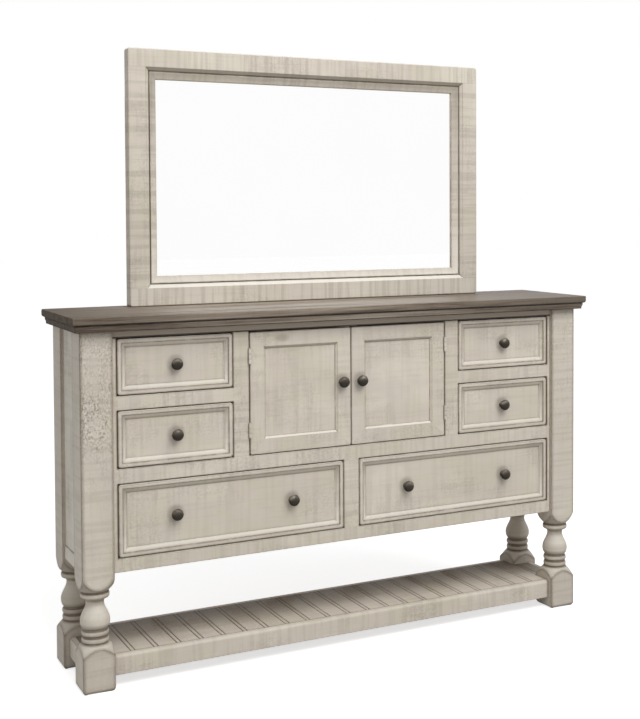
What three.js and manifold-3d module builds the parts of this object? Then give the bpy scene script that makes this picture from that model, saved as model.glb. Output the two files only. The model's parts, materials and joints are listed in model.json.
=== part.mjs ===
import * as THREE from 'three';
import { mergeVertices } from 'three/addons/utils/BufferGeometryUtils.js';
import Module from 'manifold-3d';

// A farmhouse dresser on four turned legs: two doors between four small drawers, two wide drawers below,
// a planked shelf near the floor, and a framed mirror that stands on the top and is held by two boards.
// Millimetres. +X is to the right seen from the front, +Y to the back, +Z up, floor at zero.

// Fits and clearances
const FIT_GAP = 0.3;
const CUT_OVERRUN = 5;
const GLUE_OVERLAP = 4;
const MERGE_TOLERANCE = 0.0001;

// Top board and the moulding under it
const TOP_WIDTH = 1780;
const TOP_DEPTH = 395;
const TOP_HEIGHT = 1089;
const TOP_THICKNESS = 24;
const TOP_UPPER_EASE = 2;
const TOP_LOWER_ROUND = 7;
const TOP_CORNER_RADIUS = 5;
const MOULDING_THICKNESS = 20;
const MOULDING_INSET = 8;
const MOULDING_COVE = 9;
const MOULDING_LIP = 5;
const STAINED_RAIL_HEIGHT = 22.5;

// Legs, square posts with a turned lower part
const LEG_SIDE_OVERHANG = 28;
const LEG_FRONT_OVERHANG = 34.5;
const LEG_BACK_OVERHANG = 30;
const POST_SIZE = 95.5;
const FOOT_ROUND = 12;
const FOOT_BLOCK_HEIGHT = 100;
const TURNING_HEIGHT = 252;

// Face frame
const FACE_RECESS = 10;
const FACE_THICKNESS = 22;
const OUTER_STILE = 12.4;
const INNER_STILE = 49.5;
const CENTRE_STILE = 52;
const DOOR_OPENING_WIDTH = 692;
const UPPER_DRAWER_OPENING = 169;
const DRAWER_RAIL = 41;
const LOWER_DRAWER_OPENING = 171;
const MIDDLE_RAIL = 43;
const WIDE_DRAWER_OPENING = 219;
const BOTTOM_RAIL = 39.5;

// Case boards
const SIDE_PANEL_RECESS = 18;
const SIDE_PANEL_THICKNESS = 14;
const SIDE_RAIL_HEIGHT = 40;
const SIDE_RAIL_PROUD = 3;
const PARTITION_THICKNESS = 18;
const DECK_THICKNESS = 18;
const DUST_BOARD_THICKNESS = 12;
const DUST_BOARD_LIFT = 5;
const BACK_THICKNESS = 8;

// Drawer runners and the grooves that ride on them
const RUNNER_RAIL_HEIGHT = 30;
const GROOVE_HEIGHT = 14;
const GROOVE_DEPTH = 7;
const RUNNER_END_GAP = 1;

// Drawers
const REVEAL = 3;
const FRONT_THICKNESS = 20;
const FRONT_EDGE_EASE = 1.5;
const FRONT_BEAD = 12;
const FRONT_QUIRK = 3;
const FRONT_COVE = 12;
const FRONT_PANEL_RECESS = 9;
const FRONT_CORNER_RADIUS = 8;
const BOX_SIDE_GAP = 3;
const BOX_BOTTOM_GAP = 5;
const BOX_TOP_GAP = 10;
const BOX_BACK_GAP = 10;
const BOX_WALL = 12;
const BOX_BOTTOM_THICKNESS = 6;
const BOX_BOTTOM_LIFT = 8;

// Doors
const DOOR_SIDE_GAP = 4;
const DOOR_CENTRE_GAP = 3.2;
const DOOR_THICKNESS = 20;
const DOOR_FRAME_WIDTH = 53;
const DOOR_BEVEL = 9;
const DOOR_PANEL_RECESS = 8;
const DOOR_PANEL_THICKNESS = 7;
const DOOR_GROOVE_DEPTH = 9;
const DOOR_CORNER_RADIUS = 3;
const DOOR_KNOB_INSET = 31;
const DOOR_KNOB_HEIGHT = 207;

// Butt hinges
const HINGE_LENGTH = 46;
const HINGE_BARREL_RADIUS = 4.5;
const HINGE_PIN_RADIUS = 1.8;
const HINGE_BORE_RADIUS = 2.2;
const HINGE_LEAF_THICKNESS = 1.4;
const HINGE_LEAF_WIDTH = 18;
const HINGE_UPPER_DROP = 75.5;
const HINGE_LOWER_RISE = 78.5;

// Door catch
const CATCH_WIDTH = 64;
const CATCH_DEPTH = 18;
const CATCH_DROP = 12;
const CATCH_SLOT = 10;

// Knobs
const KNOB_RADIUS = 18;
const KNOB_PROJECTION = 30;
const UPPER_DRAWER_KNOB_RISE = 84.5;
const LOWER_DRAWER_KNOB_RISE = 86.5;
const WIDE_DRAWER_KNOB_RISE = 111.5;
const WIDE_DRAWER_KNOB_SPACING = 375;

// Shelf near the floor
const SHELF_RAIL_BOTTOM = 37;
const SHELF_RAIL_HEIGHT = 59.5;
const SHELF_RAIL_THICKNESS = 18;
const SHELF_RAIL_RECESS = 18;
const SHELF_PLANK_THICKNESS = 18;
const SHELF_LEDGE_WIDTH = 12;
const SHELF_LEDGE_HEIGHT = 16;
const PLANK_PITCH = 70.6;
const PLANK_GROOVE_PAIR = 13;
const PLANK_GROOVE_WIDTH = 4;
const PLANK_GROOVE_DEPTH = 2.5;

// Mirror
const MIRROR_WIDTH = 1270;
const MIRROR_HEIGHT = 807;
const MIRROR_THICKNESS = 55;
const MIRROR_CORNER_RADIUS = 9;
const MIRROR_FRAME_WIDTH = 94;
const MIRROR_FLAT = 57;
const MIRROR_STEP_WIDTH = 13;
const MIRROR_STEP_DEPTH = 7;
const MIRROR_LIP_DEPTH = 20;
const MIRROR_SIGHT_THICKNESS = 6;
const MIRROR_RABBET = 10;
const GLASS_THICKNESS = 5;
const BACKBOARD_THICKNESS = 6;
const SUPPORT_WIDTH = 70;
const SUPPORT_THICKNESS = 25;
const SUPPORT_LENGTH = 1060;
const SUPPORT_BOTTOM = 690;

// Steps of the round forms
const CORNER_STEPS = 2;
const TURNED_STEPS = 24;
const KNOB_STEPS = 16;
const BARREL_STEPS = 12;

// Outline of the turned part of a leg, upwards from the foot block. Radii are shares of half the post,
// heights are shares of the turning, and the first and last points lie outside the square's corners.
const LEG_OUTLINE_SHARES = [
  [1.5, 0], [1.13, 0.077], [1, 0.109], [0.764, 0.157],
  [0.808, 0.171], [0.808, 0.206], [0.72, 0.232],
  [0.813, 0.252], [0.817, 0.286], [0.725, 0.308],
  [0.737, 0.319], [0.827, 0.341], [0.886, 0.373], [0.9, 0.409], [0.871, 0.448], [0.785, 0.492],
  [0.66, 0.54], [0.565, 0.583], [0.542, 0.619],
  [0.576, 0.647], [0.69, 0.668], [0.827, 0.677], [0.88, 0.698], [0.869, 0.726], [0.796, 0.746],
  [0.859, 0.76], [1, 0.786], [1.173, 0.829], [1.32, 0.885], [1.5, 1],
];
const CLEAR_OF_CORNERS_SHARE = 1.5;

// Foot edge: shares of the foot round, inwards and upwards.
const FOOT_EDGE_SHARES = [[1, 0], [0.4, 0.15], [0.1, 0.5], [0, 1]];

// Knob outline from the face outwards: shares of the radius and of the projection.
const KNOB_OUTLINE_SHARES = [
  [0.62, 0], [0.6, 0.08], [0.36, 0.16], [0.32, 0.42],
  [0.52, 0.52], [0.92, 0.58], [1, 0.68], [0.94, 0.82], [0.6, 0.95],
];

// Places that follow from the sizes above
const leftToRight = [['left', -1], ['right', 1]];
const caseTop = TOP_HEIGHT - TOP_THICKNESS - MOULDING_THICKNESS;
const legOuterX = TOP_WIDTH / 2 - LEG_SIDE_OVERHANG;
const legInnerX = legOuterX - POST_SIZE;
const legFrontY = -TOP_DEPTH / 2 + LEG_FRONT_OVERHANG;
const legBackY = TOP_DEPTH / 2 - LEG_BACK_OVERHANG;
const frontPostBackY = legFrontY + POST_SIZE;
const backPostFrontY = legBackY - POST_SIZE;
const faceY = legFrontY + FACE_RECESS;
const insideFrontY = faceY + FACE_THICKNESS + FIT_GAP;
const backPanelY = legBackY - BACK_THICKNESS;
const insideBackY = backPanelY - FIT_GAP;
const insideX = legInnerX - FIT_GAP;

const openingTop = caseTop - STAINED_RAIL_HEIGHT;
const upperDrawerZ = openingTop - UPPER_DRAWER_OPENING;
const drawerRailZ = upperDrawerZ - DRAWER_RAIL;
const lowerDrawerZ = drawerRailZ - LOWER_DRAWER_OPENING;
const middleRailZ = lowerDrawerZ - MIDDLE_RAIL;
const wideDrawerZ = middleRailZ - WIDE_DRAWER_OPENING;
const caseBottom = wideDrawerZ - BOTTOM_RAIL;

const doorOpeningX = DOOR_OPENING_WIDTH / 2;
const smallOpeningInnerX = doorOpeningX + INNER_STILE;
const openingOuterX = legInnerX - OUTER_STILE;
const wideOpeningInnerX = CENTRE_STILE / 2;

// Each row is one drawer of a side: name, opening across and upwards, knob height, knob spacing.
const drawerRows = [
  {
    name: 'small_upper', inner: smallOpeningInnerX, bottom: upperDrawerZ,
    height: UPPER_DRAWER_OPENING, knobRise: UPPER_DRAWER_KNOB_RISE, knobSpacing: 0,
  },
  {
    name: 'small_lower', inner: smallOpeningInnerX, bottom: lowerDrawerZ,
    height: LOWER_DRAWER_OPENING, knobRise: LOWER_DRAWER_KNOB_RISE, knobSpacing: 0,
  },
  {
    name: 'wide', inner: wideOpeningInnerX, bottom: wideDrawerZ,
    height: WIDE_DRAWER_OPENING, knobRise: WIDE_DRAWER_KNOB_RISE, knobSpacing: WIDE_DRAWER_KNOB_SPACING,
  },
];

// Materials, with the colours of the finished piece
function finish(color, roughness, metalness) {
  return new THREE.MeshStandardMaterial({ color, roughness, metalness });
}
const paint = finish(0xc4bba9, 0.7, 0);
const stainedWood = finish(0x6f675b, 0.65, 0);
const bareWood = finish(0xb89a73, 0.75, 0);
const hardboard = finish(0x7a5f45, 0.85, 0);
const bronze = finish(0x5d5550, 0.4, 0.85);
const silver = finish(0xe6eaea, 0.03, 1);

// Solids
const wasm = await Module();
wasm.setup();

function solid(geometry) {
  geometry.deleteAttribute('normal');
  geometry.deleteAttribute('uv');
  const merged = mergeVertices(geometry, MERGE_TOLERANCE);
  const corners = merged.index.array;
  const triangles = [];
  for (let i = 0; i < corners.length; i += 3) {
    const [a, b, c] = corners.slice(i, i + 3);
    if (a !== b && b !== c && c !== a) triangles.push(a, b, c);
  }
  return new wasm.Manifold(new wasm.Mesh({
    numProp: 3,
    vertProperties: new Float32Array(merged.attributes.position.array),
    triVerts: new Uint32Array(triangles),
  }));
}

function join(first, ...others) {
  return others.reduce((body, other) => body.add(other), first);
}

function cut(first, ...others) {
  return others.reduce((body, other) => body.subtract(other), first);
}

// A named mesh made of one solid.
function piece(name, body, material) {
  const { vertProperties, triVerts } = body.getMesh();
  const geometry = new THREE.BufferGeometry();
  geometry.setAttribute('position', new THREE.BufferAttribute(new Float32Array(vertProperties), 3));
  geometry.setIndex(new THREE.BufferAttribute(new Uint32Array(triVerts), 1));
  geometry.computeVertexNormals();
  const mesh = new THREE.Mesh(geometry, material);
  mesh.name = name;
  return mesh;
}

// A block between two places along each axis, given in either order.
function block([x0, x1], [y0, y1], [z0, z1]) {
  const box = new THREE.BoxGeometry(Math.abs(x1 - x0), Math.abs(y1 - y0), Math.abs(z1 - z0));
  box.translate((x0 + x1) / 2, (y0 + y1) / 2, (z0 + z1) / 2);
  return solid(box);
}

// A solid turned about Z from points of radius and height that start and end on the axis.
function turned(points, steps, firstAngle = 0) {
  const profile = points.map(([radius, height]) => new THREE.Vector2(radius, height));
  const geometry = new THREE.LatheGeometry(profile, steps, firstAngle);
  geometry.rotateX(Math.PI / 2);
  return solid(geometry);
}

function cylinder(radius, bottom, top, steps) {
  return turned([[0, bottom], [radius, bottom], [radius, top], [0, top]], steps);
}

// A prism along Y or, turned, along X: the outline has its places across and upwards.
function prism(outline, length, isAcross = false) {
  const shape = new THREE.Shape(outline.map(([across, up]) => new THREE.Vector2(across, up)));
  const geometry = new THREE.ExtrudeGeometry(shape, { depth: length, bevelEnabled: false });
  geometry.translate(0, 0, -length / 2);
  geometry.rotateX(Math.PI / 2);
  if (isAcross) geometry.rotateZ(Math.PI / 2);
  return solid(geometry);
}

// A rectangle with rounded corners, anticlockwise seen from above.
function roundedRing(halfWidth, halfDepth, radius) {
  const cornerSigns = [[1, 1], [-1, 1], [-1, -1], [1, -1]];
  return cornerSigns.flatMap(([signX, signY], quarter) => {
    const corner = [];
    for (let step = 0; step <= CORNER_STEPS; step += 1) {
      const angle = (quarter + step / CORNER_STEPS) * Math.PI / 2;
      const x = signX * (halfWidth - radius) + radius * Math.cos(angle);
      const y = signY * (halfDepth - radius) + radius * Math.sin(angle);
      corner.push([x, y]);
    }
    return corner;
  });
}

// A profile led round a rectangle with mitred corners. Each profile point has its inset from the outer edge,
// its height and its corner radius. A board is closed over its first and last rings, and a frame joins its
// last ring to its first.
function ledRound(width, depth, profile, isFrame) {
  const rings = profile.map(([inset, height, radius]) => {
    const ring = roundedRing(width / 2 - inset, depth / 2 - inset, radius);
    return ring.map(([x, y]) => [x, y, height]);
  });
  const count = rings[0].length;
  const levels = isFrame ? rings.length : rings.length - 1;
  const triangles = [];
  for (let level = 0; level < levels; level += 1) {
    const lower = level * count;
    const upper = ((level + 1) % rings.length) * count;
    for (let i = 0; i < count; i += 1) {
      const j = (i + 1) % count;
      triangles.push(lower + i, lower + j, upper + j);
      triangles.push(lower + i, upper + j, upper + i);
    }
  }
  const lastRing = (rings.length - 1) * count;
  for (let i = 1; !isFrame && i < count - 1; i += 1) {
    triangles.push(0, i + 1, i);
    triangles.push(lastRing, lastRing + i, lastRing + i + 1);
  }
  const geometry = new THREE.BufferGeometry();
  geometry.setAttribute('position', new THREE.Float32BufferAttribute(rings.flat(2), 3));
  geometry.setIndex(triangles);
  return geometry;
}

// The same, standing upright with its heights towards the front.
function ledRoundUpright(width, height, profile, isFrame) {
  const geometry = ledRound(width, height, profile, isFrame);
  geometry.rotateX(Math.PI / 2);
  return solid(geometry);
}

// Mirror places, needed by the notches that let its supports pass the top
const mirrorBackY = legBackY;
const mirrorBottomZ = TOP_HEIGHT + FIT_GAP;
const supportX = MIRROR_WIDTH / 2 - MIRROR_FRAME_WIDTH / 2;
const supportY = [mirrorBackY + FIT_GAP, mirrorBackY + FIT_GAP + SUPPORT_THICKNESS];

function supportNotches() {
  return leftToRight.map(([, side]) => block(
    [side * supportX - SUPPORT_WIDTH / 2 - FIT_GAP, side * supportX + SUPPORT_WIDTH / 2 + FIT_GAP],
    [mirrorBackY, TOP_DEPTH / 2 + CUT_OVERRUN],
    [caseTop - CUT_OVERRUN, TOP_HEIGHT + CUT_OVERRUN],
  ));
}

// Top board, with its lower edge rounded and its upper edge eased
function topBoard() {
  const bottom = TOP_HEIGHT - TOP_THICKNESS;
  const profile = [
    [TOP_LOWER_ROUND, bottom, TOP_CORNER_RADIUS],
    [TOP_LOWER_ROUND * (1 - Math.SQRT1_2), bottom + TOP_LOWER_ROUND * (1 - Math.SQRT1_2), TOP_CORNER_RADIUS],
    [0, bottom + TOP_LOWER_ROUND, TOP_CORNER_RADIUS],
    [0, TOP_HEIGHT - TOP_UPPER_EASE, TOP_CORNER_RADIUS],
    [TOP_UPPER_EASE, TOP_HEIGHT, TOP_CORNER_RADIUS],
  ];
  return cut(solid(ledRound(TOP_WIDTH, TOP_DEPTH, profile, false)), ...supportNotches());
}

// Moulding frame under the top, wide enough to sit on the posts, with the stained rail that hangs from it
// between the front posts
function topMoulding() {
  const width = TOP_WIDTH - 2 * MOULDING_INSET;
  const depth = TOP_DEPTH - 2 * MOULDING_INSET;
  const top = TOP_HEIGHT - TOP_THICKNESS - FIT_GAP;
  const barWidth = LEG_SIDE_OVERHANG + POST_SIZE - MOULDING_INSET;
  const lipTop = caseTop + MOULDING_LIP;
  const coveMiddle = MOULDING_COVE * (1 - Math.SQRT1_2);
  const profile = [
    [MOULDING_COVE, caseTop, TOP_CORNER_RADIUS],
    [MOULDING_COVE, lipTop, TOP_CORNER_RADIUS],
    [coveMiddle, lipTop + coveMiddle, TOP_CORNER_RADIUS],
    [0, lipTop + MOULDING_COVE, TOP_CORNER_RADIUS],
    [0, top, TOP_CORNER_RADIUS],
    [barWidth, top, TOP_CORNER_RADIUS],
    [barWidth, caseTop, TOP_CORNER_RADIUS],
  ];
  const railZ = [openingTop + FIT_GAP, caseTop + GLUE_OVERLAP];
  const stainedRail = block([-insideX, insideX], [faceY, faceY + FACE_THICKNESS], railZ);
  return cut(join(solid(ledRound(width, depth, profile, true)), stainedRail), ...supportNotches());
}

// Leg: the square post and the round outline keep only what both hold, which leaves arched shoulders on
// the four faces above and below the turning
function leg() {
  const half = POST_SIZE / 2;
  const height = caseTop - FIT_GAP;
  const footEdge = FOOT_EDGE_SHARES.map(([inwards, upwards]) => [
    (half - FOOT_ROUND * inwards) * Math.SQRT2, FOOT_ROUND * upwards,
  ]);
  const post = turned([[0, 0], ...footEdge, [half * Math.SQRT2, height], [0, height]], 4, Math.PI / 4);
  const outline = LEG_OUTLINE_SHARES.map(([radiusShare, heightShare]) => [
    half * radiusShare, FOOT_BLOCK_HEIGHT + TURNING_HEIGHT * heightShare,
  ]);
  const clear = half * CLEAR_OF_CORNERS_SHARE;
  const round = turned([
    [0, -CUT_OVERRUN], [clear, -CUT_OVERRUN], ...outline,
    [clear, height + CUT_OVERRUN], [0, height + CUT_OVERRUN],
  ], TURNED_STEPS);
  return post.intersect(round);
}

// Runner of one drawer side: a rail fixed along the wall and a tongue that enters the drawer's groove.
// The direction points from the wall towards the drawer.
function runner(direction, wallX, openingX, drawer) {
  const middle = grooveMiddle(drawer);
  const railFaceX = openingX - direction * FIT_GAP;
  const tongueEndX = openingX + direction * (BOX_SIDE_GAP + GROOVE_DEPTH - RUNNER_END_GAP);
  const tongueHalf = GROOVE_HEIGHT / 2 - FIT_GAP;
  const rail = block(
    [wallX, railFaceX],
    [insideFrontY, insideBackY],
    [middle - RUNNER_RAIL_HEIGHT / 2, middle + RUNNER_RAIL_HEIGHT / 2],
  );
  const tongue = block(
    [railFaceX - direction * GLUE_OVERLAP, tongueEndX],
    [insideFrontY, insideBackY],
    [middle - tongueHalf, middle + tongueHalf],
  );
  return join(rail, tongue);
}

function boxHeight(drawer) {
  return drawer.height - BOX_BOTTOM_GAP - BOX_TOP_GAP;
}

function grooveMiddle(drawer) {
  return drawer.bottom + BOX_BOTTOM_GAP + boxHeight(drawer) / 2;
}

// Side panel between the posts, with its lower rail outside and, inside, the packing blocks that bring
// the drawer runners out to the posts' inner faces
function sidePanel(side) {
  const outerX = side * (legOuterX - SIDE_PANEL_RECESS);
  const innerX = outerX - side * SIDE_PANEL_THICKNESS;
  const acrossY = [frontPostBackY + FIT_GAP, backPostFrontY - FIT_GAP];
  const panel = block([innerX, outerX], acrossY, [caseBottom, caseTop - FIT_GAP]);
  const lowerRailX = [innerX, outerX + side * SIDE_RAIL_PROUD];
  const lowerRail = block(lowerRailX, acrossY, [caseBottom, caseBottom + SIDE_RAIL_HEIGHT]);
  const runners = drawerRows.flatMap((drawer) => {
    const middle = grooveMiddle(drawer);
    const packing = block(
      [side * insideX - side * GLUE_OVERLAP, innerX + side * GLUE_OVERLAP],
      acrossY,
      [middle - RUNNER_RAIL_HEIGHT / 2, middle + RUNNER_RAIL_HEIGHT / 2],
    );
    return [packing, runner(-side, side * insideX, side * openingOuterX, drawer)];
  });
  return join(panel, lowerRail, ...runners);
}

// Face frame, one board thick, with an opening for the doors and one for each drawer
function faceFrame() {
  const board = block([-insideX, insideX], [faceY, faceY + FACE_THICKNESS], [caseBottom, openingTop]);
  const throughY = [faceY - CUT_OVERRUN, faceY + FACE_THICKNESS + CUT_OVERRUN];
  const doorOpeningZ = [lowerDrawerZ, openingTop + CUT_OVERRUN];
  const doorOpening = block([-doorOpeningX, doorOpeningX], throughY, doorOpeningZ);
  const drawerOpenings = leftToRight.flatMap(([, side]) => drawerRows.map((drawer) => {
    const top = drawer.bottom + drawer.height;
    const upTo = top === openingTop ? top + CUT_OVERRUN : top;
    return block([side * drawer.inner, side * openingOuterX], throughY, [drawer.bottom, upTo]);
  }));
  return cut(board, doorOpening, ...drawerOpenings);
}

// Upper partition between the doors and the small drawers, with the small drawers' inner runners
function upperPartition(side) {
  const outerX = side * (smallOpeningInnerX - OUTER_STILE);
  const innerX = outerX - side * PARTITION_THICKNESS;
  const wallZ = [lowerDrawerZ + FIT_GAP, caseTop - FIT_GAP];
  const wall = block([innerX, outerX], [insideFrontY, insideBackY], wallZ);
  const smallDrawers = drawerRows.filter((drawer) => drawer.inner === smallOpeningInnerX);
  const runners = smallDrawers.map((drawer) => (
    runner(side, outerX - side * GLUE_OVERLAP, side * drawer.inner, drawer)
  ));
  return join(wall, ...runners);
}

// Lower partition between the wide drawers, with a runner on each face
function lowerPartition() {
  const half = PARTITION_THICKNESS / 2;
  const floor = caseBottom + DUST_BOARD_LIFT + DUST_BOARD_THICKNESS + FIT_GAP;
  const ceiling = lowerDrawerZ - DECK_THICKNESS - FIT_GAP;
  const wall = block([-half, half], [insideFrontY, insideBackY], [floor, ceiling]);
  const wideDrawers = drawerRows.filter((drawer) => drawer.inner === wideOpeningInnerX);
  const runners = leftToRight.flatMap(([, side]) => wideDrawers.map((drawer) => (
    runner(side, side * (half - GLUE_OVERLAP), side * drawer.inner, drawer)
  )));
  return join(wall, ...runners);
}

function deck(top, thickness) {
  return block([-insideX, insideX], [insideFrontY, insideBackY], [top - thickness, top]);
}

function backPanel() {
  return block([-insideX, insideX], [backPanelY, legBackY], [caseBottom, caseTop - FIT_GAP]);
}

// Case pieces
function caseGroup() {
  const group = new THREE.Group();
  group.add(piece('top_board', topBoard(), stainedWood));
  group.add(piece('top_edge_moulding', topMoulding(), stainedWood));
  const legRows = [['front', legFrontY + POST_SIZE / 2], ['back', legBackY - POST_SIZE / 2]];
  for (const [row, y] of legRows) {
    for (const [sideName, side] of leftToRight) {
      const mesh = piece(`${row}_${sideName}_leg`, leg(), paint);
      mesh.position.set(side * (legOuterX - POST_SIZE / 2), y, 0);
      group.add(mesh);
    }
  }
  for (const [sideName, side] of leftToRight) {
    group.add(piece(`${sideName}_side_panel`, sidePanel(side), paint));
    group.add(piece(`${sideName}_upper_partition`, upperPartition(side), bareWood));
  }
  group.add(piece('face_frame', faceFrame(), paint));
  group.add(piece('lower_partition', lowerPartition(), bareWood));
  group.add(piece('middle_deck', deck(lowerDrawerZ, DECK_THICKNESS), bareWood));
  const dustBoardTop = caseBottom + DUST_BOARD_LIFT + DUST_BOARD_THICKNESS;
  group.add(piece('bottom_deck', deck(dustBoardTop, DUST_BOARD_THICKNESS), bareWood));
  group.add(piece('back_panel', backPanel(), hardboard));
  return group;
}

// Shelf rail along X, centred, with the ledge that carries the planks on its inner side. The outline runs
// from the outer face inwards.
function shelfRail(length, isAcross, inwards) {
  const top = SHELF_RAIL_HEIGHT;
  const ledgeTop = top - SHELF_PLANK_THICKNESS - FIT_GAP;
  const ledgeEnd = SHELF_RAIL_THICKNESS + SHELF_LEDGE_WIDTH;
  const outline = [
    [0, 0], [SHELF_RAIL_THICKNESS, 0], [SHELF_RAIL_THICKNESS, ledgeTop - SHELF_LEDGE_HEIGHT],
    [ledgeEnd, ledgeTop - SHELF_LEDGE_HEIGHT], [ledgeEnd, ledgeTop], [SHELF_RAIL_THICKNESS, ledgeTop],
    [SHELF_RAIL_THICKNESS, top], [0, top],
  ];
  return prism(outline.map(([across, up]) => [across * inwards, up]), length, isAcross);
}

// Planks from front to back, marked by pairs of V grooves, with corners cut out round the legs
function shelfPlanks() {
  const halfWidth = legOuterX - SHELF_RAIL_RECESS - SHELF_RAIL_THICKNESS - FIT_GAP;
  const frontY = legFrontY + SHELF_RAIL_RECESS + SHELF_RAIL_THICKNESS + FIT_GAP;
  const backY = legBackY - SHELF_RAIL_RECESS - SHELF_RAIL_THICKNESS - FIT_GAP;
  const pairs = Math.floor((halfWidth - PLANK_GROOVE_PAIR) / PLANK_PITCH);
  const middles = [];
  for (let pair = -pairs; pair <= pairs; pair += 1) {
    middles.push(pair * PLANK_PITCH - PLANK_GROOVE_PAIR / 2);
    middles.push(pair * PLANK_PITCH + PLANK_GROOVE_PAIR / 2);
  }
  const topLine = middles.flatMap((x) => [
    [x - PLANK_GROOVE_WIDTH / 2, 0], [x, -PLANK_GROOVE_DEPTH], [x + PLANK_GROOVE_WIDTH / 2, 0],
  ]);
  const outline = [
    [-halfWidth, -SHELF_PLANK_THICKNESS], [halfWidth, -SHELF_PLANK_THICKNESS], [halfWidth, 0],
    ...topLine.reverse(), [-halfWidth, 0],
  ];
  const planks = prism(outline, backY - frontY).translate([0, (frontY + backY) / 2, 0]);
  const corners = leftToRight.flatMap(([, side]) => [
    [frontY - CUT_OVERRUN, frontPostBackY + FIT_GAP], [backPostFrontY - FIT_GAP, backY + CUT_OVERRUN],
  ].map((acrossY) => block(
    [side * insideX, side * (halfWidth + CUT_OVERRUN)], acrossY,
    [-SHELF_PLANK_THICKNESS - CUT_OVERRUN, CUT_OVERRUN],
  )));
  return cut(planks, ...corners);
}

function shelfGroup() {
  const group = new THREE.Group();
  group.position.z = SHELF_RAIL_BOTTOM;
  const longRails = [['front', legFrontY + SHELF_RAIL_RECESS, 1], ['back', legBackY - SHELF_RAIL_RECESS, -1]];
  for (const [row, outerY, inwards] of longRails) {
    const rail = piece(`shelf_${row}_rail`, shelfRail(2 * insideX, true, inwards), paint);
    rail.position.y = outerY;
    group.add(rail);
  }
  const sideLength = backPostFrontY - frontPostBackY - 2 * FIT_GAP;
  for (const [sideName, side] of leftToRight) {
    const rail = piece(`shelf_${sideName}_rail`, shelfRail(sideLength, false, -side), paint);
    rail.position.set(side * (legOuterX - SHELF_RAIL_RECESS), (frontPostBackY + backPostFrontY) / 2, 0);
    group.add(rail);
  }
  const planks = piece('shelf_planks', shelfPlanks(), paint);
  planks.position.z = SHELF_RAIL_HEIGHT;
  group.add(planks);
  return group;
}

// Knob turned about its own axis and laid along Y, with its foot at zero and its head to the front
function knob() {
  const outline = KNOB_OUTLINE_SHARES.map(([radiusShare, lengthShare]) => [
    KNOB_RADIUS * radiusShare, KNOB_PROJECTION * lengthShare,
  ]);
  return turned([[0, 0], ...outline, [0, KNOB_PROJECTION]], KNOB_STEPS).rotate([90, 0, 0]);
}

// Drawer front: a bead round the edge, a quirk, a cove and the recessed flat
function drawerFront(width, height) {
  const quirkInset = FRONT_BEAD + FRONT_QUIRK;
  const coveInset = quirkInset + FRONT_COVE;
  const profile = [
    [0, -FRONT_THICKNESS, FRONT_CORNER_RADIUS],
    [0, -FRONT_EDGE_EASE, FRONT_CORNER_RADIUS],
    [FRONT_EDGE_EASE, 0, FRONT_CORNER_RADIUS],
    [FRONT_BEAD, 0, FRONT_CORNER_RADIUS],
    [FRONT_BEAD + FRONT_QUIRK / 2, -FRONT_QUIRK, FRONT_CORNER_RADIUS],
    [quirkInset, -FRONT_QUIRK, FRONT_CORNER_RADIUS],
    [quirkInset + FRONT_COVE / 3, -(FRONT_QUIRK + FRONT_PANEL_RECESS) / 2, FRONT_CORNER_RADIUS],
    [coveInset, -FRONT_PANEL_RECESS, FRONT_CORNER_RADIUS],
  ];
  return ledRoundUpright(width, height, profile, false);
}

// Drawer box: four walls and a raised bottom, with a groove along each side. Its front is at zero.
function drawerBox(width, height, length) {
  const half = width / 2;
  const inner = half - BOX_WALL;
  const outside = block([-half, half], [0, length], [0, height]);
  const withinWalls = [BOX_WALL, length - BOX_WALL];
  const floor = BOX_BOTTOM_LIFT + BOX_BOTTOM_THICKNESS;
  const inside = block([-inner, inner], withinWalls, [floor, height + CUT_OVERRUN]);
  const underside = block([-inner, inner], withinWalls, [-CUT_OVERRUN, BOX_BOTTOM_LIFT]);
  const grooves = leftToRight.map(([, side]) => block(
    [side * (half - GROOVE_DEPTH), side * (half + CUT_OVERRUN)],
    [-CUT_OVERRUN, length + CUT_OVERRUN],
    [height / 2 - GROOVE_HEIGHT / 2, height / 2 + GROOVE_HEIGHT / 2],
  ));
  return cut(outside, inside, underside, ...grooves);
}

// One drawer with its front, box and knobs. The group's origin is the middle of the opening's lower edge,
// in the plane of the face frame.
function drawerGroup(sideName, side, drawer) {
  const name = `${sideName}_${drawer.name}_drawer`;
  const openingWidth = openingOuterX - drawer.inner;
  const group = new THREE.Group();
  group.position.set(side * (openingOuterX + drawer.inner) / 2, faceY, drawer.bottom);

  const frontBody = drawerFront(openingWidth - 2 * REVEAL, drawer.height - 2 * REVEAL);
  const front = piece(`${name}_front`, frontBody, paint);
  front.position.z = drawer.height / 2;
  group.add(front);

  const boxFront = FRONT_THICKNESS + FIT_GAP;
  const boxLength = backPanelY - BOX_BACK_GAP - faceY - boxFront;
  const boxBody = drawerBox(openingWidth - 2 * BOX_SIDE_GAP, boxHeight(drawer), boxLength);
  const box = piece(`${name}_box`, boxBody, bareWood);
  box.position.set(0, boxFront, BOX_BOTTOM_GAP);
  group.add(box);

  const knobPlaces = drawer.knobSpacing === 0 ? [['', 0]] : [
    ['left_', -drawer.knobSpacing / 2], ['right_', drawer.knobSpacing / 2],
  ];
  for (const [knobName, x] of knobPlaces) {
    const mesh = piece(`${name}_${knobName}knob`, knob(), bronze);
    mesh.position.set(x, FRONT_PANEL_RECESS - FIT_GAP, drawer.knobRise);
    group.add(mesh);
  }
  return group;
}

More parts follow.
